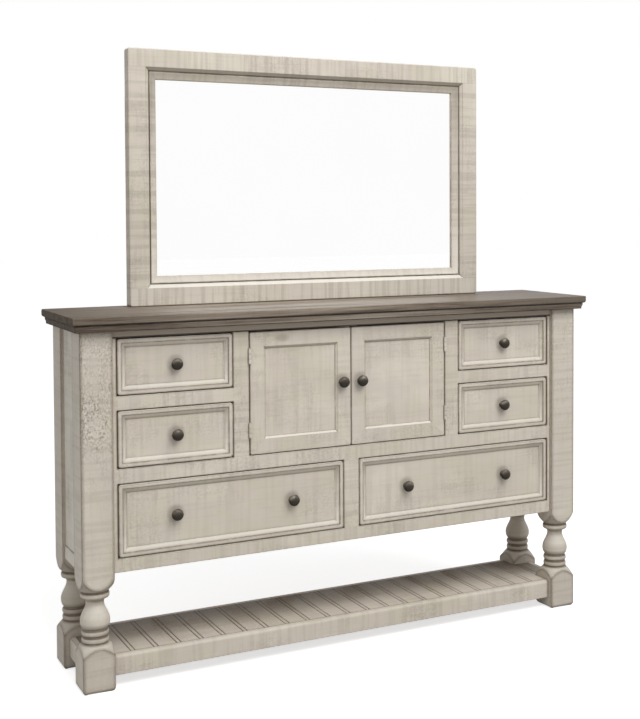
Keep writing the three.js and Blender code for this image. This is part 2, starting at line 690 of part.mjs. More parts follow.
// Door frame: flat face, inner bevel and the groove that holds the panel
function doorFrame(width, height) {
  const grooveFront = -DOOR_PANEL_RECESS;
  const grooveBack = grooveFront - DOOR_PANEL_THICKNESS;
  const grooveFloor = DOOR_FRAME_WIDTH - DOOR_GROOVE_DEPTH;
  const profile = [
    [0, -DOOR_THICKNESS], [0, -FRONT_EDGE_EASE], [FRONT_EDGE_EASE, 0],
    [DOOR_FRAME_WIDTH - DOOR_BEVEL, 0], [DOOR_FRAME_WIDTH, -DOOR_PANEL_RECESS / 2],
    [DOOR_FRAME_WIDTH, grooveFront + FIT_GAP], [grooveFloor, grooveFront + FIT_GAP],
    [grooveFloor, grooveBack - FIT_GAP], [DOOR_FRAME_WIDTH, grooveBack - FIT_GAP],
    [DOOR_FRAME_WIDTH, -DOOR_THICKNESS],
  ].map(([inset, depth]) => [inset, depth, DOOR_CORNER_RADIUS]);
  return ledRoundUpright(width, height, profile, true);
}

function doorPanel(frameWidth, frameHeight) {
  const margin = DOOR_FRAME_WIDTH - DOOR_GROOVE_DEPTH + FIT_GAP;
  const profile = [
    [margin, -DOOR_PANEL_RECESS - DOOR_PANEL_THICKNESS, DOOR_CORNER_RADIUS],
    [margin, -DOOR_PANEL_RECESS, DOOR_CORNER_RADIUS],
  ];
  return ledRoundUpright(frameWidth, frameHeight, profile, false);
}

const hingeX = doorOpeningX - DOOR_SIDE_GAP / 2;
const hingeY = faceY - HINGE_BARREL_RADIUS - FIT_GAP;
const knuckleLength = HINGE_LENGTH / 3;

// One leaf of a butt hinge, with its barrel on the Z axis. Knuckles are given by their lower and upper ends,
// and the leaf stands on the positive or negative side of the axis.
function hingeLeaf(leafSide, knuckles) {
  const plateOuter = DOOR_SIDE_GAP / 2 - FIT_GAP;
  const plateX = [leafSide * (plateOuter - HINGE_LEAF_THICKNESS), leafSide * plateOuter];
  const behindBarrel = HINGE_BARREL_RADIUS + 2 * FIT_GAP;
  const plateY = [behindBarrel, behindBarrel + HINGE_LEAF_WIDTH];
  const plate = block(plateX, plateY, [-HINGE_LENGTH / 2, HINGE_LENGTH / 2]);
  const wraps = knuckles.flatMap(([bottom, top]) => [
    cylinder(HINGE_BARREL_RADIUS, bottom, top, BARREL_STEPS),
    block(plateX, [HINGE_BORE_RADIUS, behindBarrel + HINGE_LEAF_THICKNESS], [bottom, top]),
  ]);
  return join(plate, ...wraps);
}

// Case leaf: the outer knuckles and the pin that runs through the barrel
function caseLeaf(side) {
  const end = HINGE_LENGTH / 2;
  const outerKnuckles = [[-end, -knuckleLength / 2 - FIT_GAP], [knuckleLength / 2 + FIT_GAP, end]];
  const pin = cylinder(HINGE_PIN_RADIUS, -end, end, BARREL_STEPS);
  return join(hingeLeaf(side, outerKnuckles), pin);
}

// Door leaf: the middle knuckle, bored for the pin
function doorLeaf(side) {
  const bore = cylinder(HINGE_BORE_RADIUS, -HINGE_LENGTH, HINGE_LENGTH, BARREL_STEPS);
  return cut(hingeLeaf(-side, [[-knuckleLength / 2, knuckleLength / 2]]), bore);
}

// One door with its hinges and knob. The group's origin is on the hinge axis, level with the opening's floor.
function doorGroup(sideName, side) {
  const openingHeight = openingTop - lowerDrawerZ;
  const width = doorOpeningX - DOOR_SIDE_GAP - DOOR_CENTRE_GAP / 2;
  const height = openingHeight - 2 * REVEAL;
  const group = new THREE.Group();
  group.position.set(side * hingeX, hingeY, lowerDrawerZ);

  const middleX = -side * (DOOR_SIDE_GAP / 2 + width / 2);
  const facePlane = faceY - hingeY;
  for (const [name, body] of [['frame', doorFrame(width, height)], ['panel', doorPanel(width, height)]]) {
    const mesh = piece(`${sideName}_door_${name}`, body, paint);
    mesh.position.set(middleX, facePlane, openingHeight / 2);
    group.add(mesh);
  }

  const knobMesh = piece(`${sideName}_door_knob`, knob(), bronze);
  const knobX = -side * (DOOR_SIDE_GAP / 2 + width - DOOR_KNOB_INSET);
  knobMesh.position.set(knobX, facePlane - FIT_GAP, DOOR_KNOB_HEIGHT);
  group.add(knobMesh);

  const hinges = [['upper', openingHeight - HINGE_UPPER_DROP], ['lower', HINGE_LOWER_RISE]];
  for (const [level, z] of hinges) {
    const leaves = [['case_leaf', caseLeaf(side)], ['door_leaf', doorLeaf(side)]];
    for (const [leafName, body] of leaves) {
      const mesh = piece(`${sideName}_${level}_hinge_${leafName}`, body, paint);
      mesh.position.z = z;
      group.add(mesh);
    }
  }
  return group;
}

// Double catch behind the doors' meeting edge, fixed to the stained rail and the moulding frame
function doorCatch() {
  const half = CATCH_WIDTH / 2;
  const body = block(
    [-half, half], [insideFrontY, insideFrontY + CATCH_DEPTH], [openingTop - CATCH_DROP, caseTop - FIT_GAP],
  );
  const slots = leftToRight.map(([, side]) => block(
    [side * half / 2 - CATCH_SLOT / 2, side * half / 2 + CATCH_SLOT / 2],
    [insideFrontY - CUT_OVERRUN, insideFrontY + CATCH_DEPTH / 2],
    [openingTop - CATCH_DROP - CUT_OVERRUN, openingTop - CATCH_DROP / 3],
  ));
  return cut(body, ...slots);
}

// Mirror frame: a wide flat, a stepped quirk and an inner moulding that falls to the glass, with the rabbet
// for the glass and its backboard behind
function mirrorFrame() {
  const stepEnd = MIRROR_FLAT + MIRROR_STEP_WIDTH;
  const mouldingWidth = MIRROR_FRAME_WIDTH - stepEnd;
  const sightBack = -MIRROR_LIP_DEPTH - MIRROR_SIGHT_THICKNESS;
  const rabbetInset = MIRROR_FRAME_WIDTH - MIRROR_RABBET;
  const profile = [
    [0, -MIRROR_THICKNESS], [0, -TOP_UPPER_EASE], [TOP_UPPER_EASE, 0], [MIRROR_FLAT, 0],
    [MIRROR_FLAT + TOP_UPPER_EASE, -MIRROR_STEP_DEPTH],
    [stepEnd - TOP_UPPER_EASE, -MIRROR_STEP_DEPTH],
    [stepEnd, -MIRROR_STEP_DEPTH - TOP_UPPER_EASE],
    [stepEnd + mouldingWidth / 3, -MIRROR_STEP_DEPTH - TOP_UPPER_EASE / 2],
    [stepEnd + mouldingWidth * 2 / 3, -(MIRROR_STEP_DEPTH + MIRROR_LIP_DEPTH) / 2],
    [MIRROR_FRAME_WIDTH, -MIRROR_LIP_DEPTH],
    [MIRROR_FRAME_WIDTH, sightBack], [rabbetInset, sightBack],
    [rabbetInset, -MIRROR_THICKNESS],
  ].map(([inset, depth]) => [inset, depth, MIRROR_CORNER_RADIUS]);
  return ledRoundUpright(MIRROR_WIDTH, MIRROR_HEIGHT, profile, true);
}

// A flat sheet in the mirror's rabbet, its front at the given depth behind the frame's face
function mirrorSheet(frontDepth, thickness) {
  const inset = MIRROR_FRAME_WIDTH - MIRROR_RABBET + FIT_GAP;
  const profile = [
    [inset, -frontDepth - thickness, MIRROR_CORNER_RADIUS], [inset, -frontDepth, MIRROR_CORNER_RADIUS],
  ];
  return ledRoundUpright(MIRROR_WIDTH, MIRROR_HEIGHT, profile, false);
}

// Mirror on the top, held by two boards screwed to its back and to the back of the case
function mirrorGroup() {
  const group = new THREE.Group();
  const front = new THREE.Group();
  front.position.set(0, mirrorBackY - MIRROR_THICKNESS, mirrorBottomZ + MIRROR_HEIGHT / 2);
  const glassDepth = MIRROR_LIP_DEPTH + MIRROR_SIGHT_THICKNESS + FIT_GAP;
  const boardDepth = glassDepth + GLASS_THICKNESS + FIT_GAP;
  front.add(piece('mirror_frame', mirrorFrame(), paint));
  front.add(piece('mirror_glass', mirrorSheet(glassDepth, GLASS_THICKNESS), silver));
  front.add(piece('mirror_backboard', mirrorSheet(boardDepth, BACKBOARD_THICKNESS), hardboard));
  group.add(front);
  for (const [sideName, side] of leftToRight) {
    const board = block(
      [side * supportX - SUPPORT_WIDTH / 2, side * supportX + SUPPORT_WIDTH / 2],
      supportY,
      [SUPPORT_BOTTOM, SUPPORT_BOTTOM + SUPPORT_LENGTH],
    );
    group.add(piece(`${sideName}_mirror_support`, board, bareWood));
  }
  return group;
}

const dresser = new THREE.Group();
dresser.add(caseGroup());
dresser.add(shelfGroup());
for (const [sideName, side] of leftToRight) {
  for (const drawer of drawerRows) dresser.add(drawerGroup(sideName, side, drawer));
  dresser.add(doorGroup(sideName, side));
}
dresser.add(piece('door_catch', doorCatch(), bronze));
dresser.add(mirrorGroup());

export default dresser;
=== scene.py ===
import json
import math

import bpy
from mathutils import Matrix, Vector


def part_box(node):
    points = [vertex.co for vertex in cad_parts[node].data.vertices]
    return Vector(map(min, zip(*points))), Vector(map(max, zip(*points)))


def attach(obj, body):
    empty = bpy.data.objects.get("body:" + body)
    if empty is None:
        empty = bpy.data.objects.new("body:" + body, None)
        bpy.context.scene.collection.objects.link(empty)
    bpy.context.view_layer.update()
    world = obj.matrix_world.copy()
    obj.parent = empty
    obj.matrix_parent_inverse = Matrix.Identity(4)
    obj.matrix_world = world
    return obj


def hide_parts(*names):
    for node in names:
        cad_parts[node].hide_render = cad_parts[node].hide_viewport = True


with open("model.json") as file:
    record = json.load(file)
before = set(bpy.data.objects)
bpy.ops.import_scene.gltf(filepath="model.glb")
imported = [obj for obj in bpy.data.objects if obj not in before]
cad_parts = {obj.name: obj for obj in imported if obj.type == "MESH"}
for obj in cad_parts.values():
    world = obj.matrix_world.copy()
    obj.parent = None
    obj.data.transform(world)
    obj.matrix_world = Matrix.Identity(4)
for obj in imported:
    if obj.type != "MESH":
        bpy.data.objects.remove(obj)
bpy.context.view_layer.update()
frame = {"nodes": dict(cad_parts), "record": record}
nodes = frame["nodes"]
bodies = frame["record"]["behaviour"]["bodies"]
body_of = {node: body for body, members in bodies.items() for node in members}

# The finish of a farmhouse dresser with its mirror: distressed off-white paint with a brown glaze,
# a weathered dark top, bronze knobs. Metres, in the part's own frame.

MM = 0.001
SIDES = ("left", "right")
DRAWERS = ("small_upper", "small_lower", "wide")

# Camera, fitted to the photograph

IMAGE_HEIGHT = 719
SENSOR = 36.0
FOCAL_PIXELS = 1239.8
CAMERA_PLACE = (-1.7281, -3.6715, 1.3903)
CAMERA_YAW = 28.0678
CAMERA_PITCH = 1.9359
CAMERA_ROLL = -0.1942
CAMERA_SHIFT = (-0.10, -0.15)
CAMERA_RANGE = 60


def make_camera():
    data = bpy.data.cameras.new("camera")
    data.sensor_width = SENSOR
    data.lens = FOCAL_PIXELS / IMAGE_HEIGHT * SENSOR
    data.shift_x, data.shift_y = CAMERA_SHIFT
    data.clip_end = CAMERA_RANGE
    camera = bpy.data.objects.new("camera", data)
    bpy.context.scene.collection.objects.link(camera)
    yaw = math.radians(CAMERA_YAW)
    pitch = math.radians(CAMERA_PITCH)
    roll = math.radians(CAMERA_ROLL)
    level = Vector((math.sin(yaw), math.cos(yaw), 0))
    across = Vector((math.cos(yaw), -math.sin(yaw), 0))
    up = Vector((0, 0, 1)) * math.cos(pitch) + level * math.sin(pitch)
    right = across * math.cos(roll) + up * math.sin(roll)
    top = up * math.cos(roll) - across * math.sin(roll)
    back = right.cross(top)
    turn = Matrix((right, top, back)).transposed().to_4x4()
    camera.matrix_world = Matrix.Translation(CAMERA_PLACE) @ turn
    bpy.context.scene.camera = camera


# Shader maths. A seed moves a pattern by SEED_STEPS along its three axes, and the pattern of standing boards
# lies STANDING_APART metres from that of lying ones.

SEED_STEPS = (1.0, 1.7, 2.3)
STANDING_APART = 5.0
CREVICE_SAMPLES = 5
CORNER_SAMPLES = 4


class Value:
    """One output of a shader node. Sums and products of values become Math nodes."""

    def __init__(self, shader, socket):
        self.shader = shader
        self.socket = socket

    def math(self, operation, *others):
        return self.shader.node("ShaderNodeMath", {"operation": operation}, dict(enumerate((self, *others))))

    def __add__(self, other):
        return self.math("ADD", other)

    __radd__ = __add__

    def __mul__(self, other):
        return self.math("MULTIPLY", other)

    __rmul__ = __mul__

    def __sub__(self, other):
        return self.math("SUBTRACT", other)

    def __rsub__(self, other):
        return (self * -1) + other

    def __truediv__(self, other):
        return self.math("DIVIDE", other)

    def __abs__(self):
        return self.math("ABSOLUTE")

    def __pow__(self, other):
        return self.math("POWER", other)

    def __lt__(self, other):
        return self.math("LESS_THAN", other)

    def __gt__(self, other):
        return self.math("GREATER_THAN", other)

    def least(self, other):
        return self.math("MINIMUM", other)

    def most(self, other):
        return self.math("MAXIMUM", other)

    def within(self, half):
        """1 less than half away from 0."""
        return abs(self) < half

    def between(self, low, high):
        """0 below low, 1 above high and a smooth rise between them."""
        settings = {"interpolation_type": "SMOOTHSTEP"}
        sockets = {"Value": self, "From Min": low, "From Max": high}
        return self.shader.node("ShaderNodeMapRange", settings, sockets)


class Shader:
    """Adds nodes to a tree: type, settings, then the values or links of the sockets."""

    def __init__(self, tree):
        self.tree = tree
        tree.nodes.clear()
        self.place = None

    def node(self, kind, settings=None, sockets=None, output=0, end=None):
        made = self.tree.nodes.new(kind)
        for key, value in (settings or {}).items():
            setattr(made, key, value)
        for key, value in (sockets or {}).items():
            if isinstance(value, Value):
                self.tree.links.new(value.socket, made.inputs[key])
            else:
                made.inputs[key].default_value = value
        if end:
            last = self.tree.nodes.new(f"ShaderNodeOutput{end}")
            self.tree.links.new(made.outputs[0], last.inputs["Surface"])
        return Value(self, made.outputs[output])

    def mix(self, factor, low, high):
        """Colour between low and high. Sockets 0, 6 and 7 and output 2 are the colour ones of the Mix node."""
        return self.node("ShaderNodeMix", {"data_type": "RGBA"}, {0: factor, 6: low, 7: high}, output=2)

    def over(self, colour, *coats):
        """Lays coats over a colour, one after another. A coat is its share and its colour."""
        for share, coat in coats:
            colour = self.mix(share, colour, coat)
        return colour

    def axes(self, kind="Object"):
        """The object coordinates, or the surface's normal, as three separate values."""
        whole = self.node("ShaderNodeTexCoord", output=kind)
        split = self.node("ShaderNodeSeparateXYZ", None, {0: whole})
        return [Value(self, output) for output in split.socket.node.outputs]

    def point(self, *values):
        return self.node("ShaderNodeCombineXYZ", None, dict(enumerate(values)))

    def lay_grain(self, axes, grain, upright=None):
        """Sets the pattern's place so that its first axis runs along the grain. Where upright is 1 the
        boards stand on end."""
        x, y, z = axes
        order = {"X": (x, y, z), "Y": (y, x, z), "Z": (z, y, x)}[grain]
        self.place = self.point(*order)
        if upright is not None:
            sockets = {0: upright, 4: self.place, 5: self.point(z + STANDING_APART, y, x)}
            self.place = self.node("ShaderNodeMix", {"data_type": "VECTOR"}, sockets, output=1)

    def noise(self, seed, along, across, offset=0, detail=2, roughness=0.5):
        """Noise with so many lumps a metre along and across the grain."""
        location = tuple((seed + offset) * step for step in SEED_STEPS)
        sockets = {"Vector": self.place, "Scale": (along, across, across), "Location": location}
        placed = self.node("ShaderNodeMapping", None, sockets)
        sockets = {"Vector": placed, "Scale": 1.0, "Detail": detail, "Roughness": roughness}
        return self.node("ShaderNodeTexNoise", None, sockets)

    def crevice(self, reach, joined=False):
        """0 on open surfaces, rising to 1 deep in a corner or groove. Where the piece is fixed, joined also
        counts the pieces that it meets."""
        settings = {"only_local": not joined, "samples": CREVICE_SAMPLES}
        return 1 - self.node("ShaderNodeAmbientOcclusion", settings, {"Distance": reach}, output="AO")

    def corner(self, radius):
        """0 on flats, rising towards 1 on sharp edges."""
        soft = self.node("ShaderNodeBevel", {"samples": CORNER_SAMPLES}, {"Radius": radius})
        sharp = self.node("ShaderNodeNewGeometry", output="Normal")
        settings = {"operation": "DOT_PRODUCT"}
        return 1 - self.node("ShaderNodeVectorMath", settings, {0: soft, 1: sharp}, output="Value")


class Finish:
    """A material with one Principled shader. The function boards says where boards stand on end and where
    they meet."""

    def __init__(self, name, grain="X", boards=None):
        self.material = bpy.data.materials.new(name)
        self.material.use_nodes = True
        self.shader = Shader(self.material.node_tree)
        self.axes = self.shader.axes()
        upright, self.seams = boards(*self.axes) if boards else (None, 0)
        self.shader.lay_grain(self.axes, grain, upright)

    def end(self, relief=None, **sockets):
        """Adds the shader. The relief is a height, its strength and its depth."""
        values = {name.replace("_", " "): value for name, value in sockets.items()}
        values["Base Color"] = values.pop("Color")
        if relief:
            bump = dict(zip(("Height", "Strength", "Distance"), relief))
            values["Normal"] = self.shader.node("ShaderNodeBump", None, bump)
        self.shader.node("ShaderNodeBsdfPrincipled", None, values, end="Material")
        return self.material


# Colours, as linear values of the tones seen in the photograph

PAINT = (0.60, 0.545, 0.445, 1)
PAINT_LIGHT = (0.68, 0.625, 0.53, 1)
PAINT_ROSE = (0.63, 0.56, 0.495, 1)
PAINT_GREY = (0.43, 0.385, 0.315, 1)
PAINT_WORN = (0.27, 0.232, 0.178, 1)
# PAINT_BRIGHT also serves as the painted highlight on surfaces facing up and the painted light of the lighter
# coat
PAINT_BRIGHT = (0.80, 0.76, 0.68, 1)
# Painted shade on surfaces that face down
PAINT_SHADED = (0.28, 0.245, 0.19, 1)
GLAZE_THIN = (0.165, 0.125, 0.085, 1)
GLAZE = (0.105, 0.077, 0.050, 1)
STAIN = (0.205, 0.162, 0.124, 1)
STAIN_LIGHT = (0.345, 0.295, 0.235, 1)
# A paler stain that is also painted light, for the strip in the overhang's shade
STAIN_PALE_AND_LIT = (0.54, 0.455, 0.37, 1)
STAIN_DARK = (0.042, 0.028, 0.017, 1)
# Near black for painted shadow: in the joints of the top and under the knobs
PAINTED_SHADOW_BLACK = (0.012, 0.008, 0.005, 1)
BARE = (0.52, 0.37, 0.22, 1)
BARE_DARK = (0.36, 0.23, 0.12, 1)
BOARD = (0.16, 0.10, 0.06, 1)
BOARD_DARK = (0.10, 0.06, 0.035, 1)
BRONZE = (0.052, 0.040, 0.028, 1)
# Bronze for the painted highlight on the knobs' tops, partly rubbed places
BRONZE_RUBBED_AND_LIT = (0.23, 0.205, 0.17, 1)
GLASS = (0.965, 0.97, 0.965, 1)
GLASS_LIGHT = (0.98, 0.985, 0.98, 1)
STEEL = (0.4, 0.4, 0.4, 1)
STEEL_LIGHT = (0.55, 0.55, 0.54, 1)
WHITE = (1, 1, 1, 1)
BLACK = (0, 0, 0, 1)

# Paint. A pattern has so many lumps a metre along and across the grain, and an offset that sets it apart from
# the others. A span says where it starts to show and where it shows fully, a share how much it covers.

CLOUD = {"along": 2.6, "across": 4.5, "detail": 3}
CLOUD_SPAN = (0.36, 0.62)
TINT = {"along": 8, "across": 14, "offset": 2}
TINT_SPAN = (0.42, 0.60)
TINT_SHARE = 0.75
PATCH = {"along": 4.5, "across": 8, "offset": 3, "detail": 3}
PATCH_SPAN = (0.50, 0.64)
PATCH_WIDENED = 0.15
CLUSTER = {"along": 16, "across": 34, "offset": 10, "detail": 3, "roughness": 0.6}
CLUSTER_SPAN = (0.40, 0.58)
LEAST_PATCH = 0.6
LEAST_CLUSTER = 0.25
SAW = {"along": 58, "across": 2.6, "offset": 5, "detail": 3, "roughness": 0.6}
SAW_SPAN = (0.44, 0.62)
PATCH_SAWN = 0.16
SCRATCH = {"along": 210, "across": 22, "offset": 6}
SCRATCH_SPAN = (0.50, 0.70)
SCRATCH_SHARE = 0.02
PATCH_SCRATCHED = 0.08
FIBRE = {"along": 7, "across": 120, "offset": 7, "detail": 3, "roughness": 0.6}
FIBRE_SPAN = (0.50, 0.68)
PATCH_STREAKED = 0.06
FLECK = {"along": 120, "across": 190, "offset": 8, "detail": 3, "roughness": 0.7}
BRIGHT_FLECK_SPAN = (0.40, 0.49)
BRIGHT_FLECK_SHARE = 0.6
DARK_FLECK_SPAN = (0.49, 0.60)
MOST_DARK_FLECK = 0.8
CHIP = {"along": 26, "across": 26, "offset": 9, "detail": 3}
CHIP_SPAN = (0.36, 0.50)
# Painted highlight: a surface is painted brighter as its normal turns upwards through this span
LIT_LEDGE_SPAN = (0.1, 0.5)
# Painted shade: a surface is painted darker as its normal turns downwards through this span
SHADED_UNDERSIDE_SPAN = (-0.5, -0.1)
# Grime and painted shade, as the given function lays them
SOIL_AND_SHADE_SHARE = 0.7
SOIL_AND_SHADE_FLECKED = 0.6
MOST_SOIL_AND_SHADE = 0.95
CREVICE_REACH = 10 * MM
CREVICE_STARTS = 0.10
CREVICE_FULL = 0.45
CREVICE_SHARE = 0.45
CREVICE_CHIPPED = 0.9
SEAM_SHARE = 0.35
MOST_CREVICE = 0.92
EDGE_SPAN = (0.03, 0.10)
EDGE_CHIPPED = 0.5
EDGE_SHARE = 0.85
SAW_HEIGHT = 0.35
SCRATCH_HEIGHT = 0.25
FIBRE_HEIGHT = 0.45
EDGE_DEPTH = 0.4
PAINT_RELIEF = (0.2, 0.9 * MM)
PAINT_ROUGHNESS = 0.60
PATCH_ROUGHNESS = 0.15


def painted(name, grain, seed=0.0, worn=6 * MM, mottle=0.2, streak=0.08, sawn=0.16, fresh_coat_and_light=0.0,
            lit_ledges=0.8, shaded_undersides=0.5, glaze=1.0, joined=False, boards=None, soil_and_shade=None, flecked=None):
    """Off-white paint over sawn boards, in soft cloudy tones.

    Shares set how much shows of the speckled patches (mottle), the streaks along the grain, the saw marks
    across it, a lighter coat that is partly a newer coat and partly painted light, a painted highlight on
    surfaces that face up, painted shade on surfaces that face down, and the brown glaze in corners and under
    mouldings. Edges are worn to the dark ground over about a third of the reach worn. The functions for boards,
    for grime and painted shade, and for flecks say where boards stand on end and meet, where grime gathers and
    shade is painted, and where the speckles lie. The lighter coat's share may be such a function as well."""
    finish = Finish(name, grain, boards)
    s = finish.shader
    x, y, z = finish.axes
    cloud, tint, saw, scratch, fibre, fleck, chip = (
        s.noise(seed, **pattern) for pattern in (CLOUD, TINT, SAW, SCRATCH, FIBRE, FLECK, CHIP)
    )
    patch = s.noise(seed, **PATCH).between(*(end - PATCH_WIDENED * mottle for end in PATCH_SPAN))
    if flecked:
        cluster = LEAST_CLUSTER + (1 - LEAST_CLUSTER) * s.noise(seed, **CLUSTER).between(*CLUSTER_SPAN)
        patch = patch.most(LEAST_PATCH) * flecked(x, y, z) * cluster
    # Painted highlight where the surface faces up, and painted shade where it faces down, both from its normal
    upwards = s.axes("Normal")[2]
    lit_ledge = upwards.between(*LIT_LEDGE_SPAN)
    colour = s.over(
        s.mix(cloud.between(*CLOUD_SPAN), PAINT_LIGHT, PAINT),
        (tint.between(*TINT_SPAN) * TINT_SHARE, PAINT_ROSE),
        # A lighter coat: partly a newer coat of paint, partly painted light that makes up for shade
        (fresh_coat_and_light(x, y, z) if callable(fresh_coat_and_light) else fresh_coat_and_light, PAINT_BRIGHT),
        (saw.between(*SAW_SPAN) * (sawn + PATCH_SAWN * patch), PAINT_GREY),
        (scratch.between(*SCRATCH_SPAN) * (SCRATCH_SHARE + PATCH_SCRATCHED * patch), PAINT_WORN),
        (fibre.between(*FIBRE_SPAN) * (streak + PATCH_STREAKED * patch), PAINT_WORN),
        ((1 - fleck.between(*BRIGHT_FLECK_SPAN)) * patch * mottle * BRIGHT_FLECK_SHARE, PAINT_BRIGHT),
        ((fleck.between(*DARK_FLECK_SPAN) * patch * mottle).least(MOST_DARK_FLECK), PAINT_WORN),
        (lit_ledge * lit_ledges, PAINT_BRIGHT),
        ((1 - upwards.between(*SHADED_UNDERSIDE_SPAN)) * shaded_undersides, PAINT_SHADED),
    )
    # Grime, and painted shade where the function lays it: in recesses, beside hinges, along door tops and at
    # the back of the shelf
    if soil_and_shade:
        dirt_and_shade = soil_and_shade(x, y, z) * (SOIL_AND_SHADE_SHARE + SOIL_AND_SHADE_FLECKED * fleck)
        colour = s.mix(dirt_and_shade.least(MOST_SOIL_AND_SHADE), colour, GLAZE)
    crevices = s.crevice(CREVICE_REACH, joined).between(CREVICE_STARTS, CREVICE_FULL / glaze)
    crevices = crevices * (CREVICE_SHARE + CREVICE_CHIPPED * chip) * glaze * (1 - lit_ledge * lit_ledges)
    edges = s.corner(worn).between(*EDGE_SPAN)
    edges = edges * (chip.between(*CHIP_SPAN) * EDGE_CHIPPED + (1 - EDGE_CHIPPED)) * glaze
    colour = s.over(
        colour,
        ((crevices + finish.seams * SEAM_SHARE * chip).least(MOST_CREVICE), GLAZE),
        ((edges * EDGE_SHARE).least(1), GLAZE_THIN),
    )
    height = saw * SAW_HEIGHT + scratch * SCRATCH_HEIGHT + fibre * FIBRE_HEIGHT - edges * EDGE_DEPTH
    roughness = PAINT_ROUGHNESS + PATCH_ROUGHNESS * patch
    return finish.end(relief=(height, *PAINT_RELIEF), Color=colour, Roughness=roughness)


# Stained wood

WOOD_STREAK = {"along": 1.6, "across": 42, "detail": 4, "roughness": 0.62}
LIGHT_STREAK_SPAN = (0.42, 0.62)
LIGHT_STREAK_SHARE = 0.45
WOOD_WIDE = {"along": 1.4, "across": 9, "offset": 2}
WIDE_STREAK_SHARE = 0.8
DARK_STREAK_SPAN = (0.34, 0.46)
DARK_STREAK_SHARE = 0.7
WOOD_VEIN = {"along": 30, "across": 75, "offset": 9, "detail": 3, "roughness": 0.65}
VEIN_SPAN = (0.40, 0.60)
END_GRAIN_SPAN = (0.5, 0.9)
END_GRAIN_SHARE = 0.5
END_GRAIN_VEINED = 0.45
LEFT_END = (-0.45, -0.95)
LEFT_STREAK_SPAN = (0.40, 0.56)
LEFT_SHARE = 0.12
LEFT_STREAKED = 0.6
RIGHT_END = (0.1, 0.8)
RIGHT_STREAK_SPAN = (0.42, 0.60)
RIGHT_SHARE = 0.25
RIGHT_STREAKED = 0.4
WOOD_PORE = {"along": 8, "across": 330, "offset": 4, "detail": 3}
PORE_SPAN = (0.50, 0.72)
PORE_SHARE = 0.4
WOOD_SAW = {"along": 130, "across": 9, "offset": 6}
WOOD_SAW_SPAN = (0.55, 0.75)
WOOD_SAW_SHARE = 0.12
# How much the strip is painted lighter: partly a paler stain, partly painted light
PALE_AND_LIT_SHARE = 0.75
# Painted shadow in the joints of the top
JOINT_SHADOW_STARTS = 0.6
JOINT_SHADOW_SHARE = 0.9
WOOD_RUB = {"along": 24, "across": 24, "offset": 8, "detail": 3}
RUB_SPAN = (0.42, 0.62)
RUB_REACH = 5 * MM
RUB_EDGE_SPAN = (0.02, 0.1)
RUB_SHARE = 0.35
STREAK_HEIGHT = 0.4
PORE_HEIGHT = 0.6
WOOD_RELIEF = (0.28, 0.9 * MM)
WOOD_SPECULAR = 0.25
WOOD_ROUGHNESS = 0.38
PORE_ROUGHNESS = 0.2
LEFT_ROUGHNESS = 0.35


def stained(name, grain, seed=0.0, joints=(), pale_and_lit_below=0.0):
    """Weathered dark wood: long grey-brown streaks, dark pores, darker end grain, stain that darkens towards
    both ends of X, rubbed edges, and painted shadow, near black, along the given heights where one board lies
    on the next. Wood below the given pale height is painted lighter, partly a paler stain and partly painted
    light where the top's overhang shades it."""
    finish = Finish(name, grain)
    s = finish.shader
    streak, wide, vein, pore, saw, rub = (
        s.noise(seed, **pattern)
        for pattern in (WOOD_STREAK, WOOD_WIDE, WOOD_VEIN, WOOD_PORE, WOOD_SAW, WOOD_RUB)
    )
    along, _, level = finish.axes
    end_grain = abs(s.axes("Normal")[0]).between(*END_GRAIN_SPAN)
    left, right = along.between(*LEFT_END), along.between(*RIGHT_END)
    colour = s.over(
        STAIN,
        (streak.between(*LIGHT_STREAK_SPAN) * (LIGHT_STREAK_SHARE + WIDE_STREAK_SHARE * wide), STAIN_LIGHT),
        (streak.between(*DARK_STREAK_SPAN) * -DARK_STREAK_SHARE + DARK_STREAK_SHARE, STAIN_DARK),
        (end_grain * (END_GRAIN_SHARE + END_GRAIN_VEINED * vein.between(*VEIN_SPAN)), STAIN_DARK),
        (left * (LEFT_SHARE + LEFT_STREAKED * streak.between(*LEFT_STREAK_SPAN)), STAIN_DARK),
        (right * (RIGHT_SHARE + RIGHT_STREAKED * streak.between(*RIGHT_STREAK_SPAN)), STAIN_DARK),
        (pore.between(*PORE_SPAN) * PORE_SHARE, STAIN_DARK),
        (saw.between(*WOOD_SAW_SPAN) * WOOD_SAW_SHARE, STAIN_DARK),
        # Lighter below the given height: partly a paler stain, partly painted light where the top's overhang
        # shades the strip
        ((level < pale_and_lit_below) * PALE_AND_LIT_SHARE, STAIN_PALE_AND_LIT),
    )
    # Painted shadow, near black, where one board lies on the next
    for joint, reach in joints:
        near = 1 - abs(level - joint).between(JOINT_SHADOW_STARTS * reach, reach)
        colour = s.mix(near * JOINT_SHADOW_SHARE, colour, PAINTED_SHADOW_BLACK)
    rubbed = s.corner(RUB_REACH).between(*RUB_EDGE_SPAN) * rub.between(*RUB_SPAN)
    colour = s.mix(rubbed * RUB_SHARE, colour, STAIN_LIGHT)
    height = streak * STREAK_HEIGHT + pore * PORE_HEIGHT
    roughness = WOOD_ROUGHNESS + PORE_ROUGHNESS * pore + LEFT_ROUGHNESS * left
    return finish.end(
        relief=(height, *WOOD_RELIEF), Color=colour, Specular_IOR_Level=WOOD_SPECULAR, Roughness=roughness,
    )


# Bare wood, boards and metals. A relief is the strength and depth of the bumps. A pair for the roughness is its
# least value and what the pattern adds.

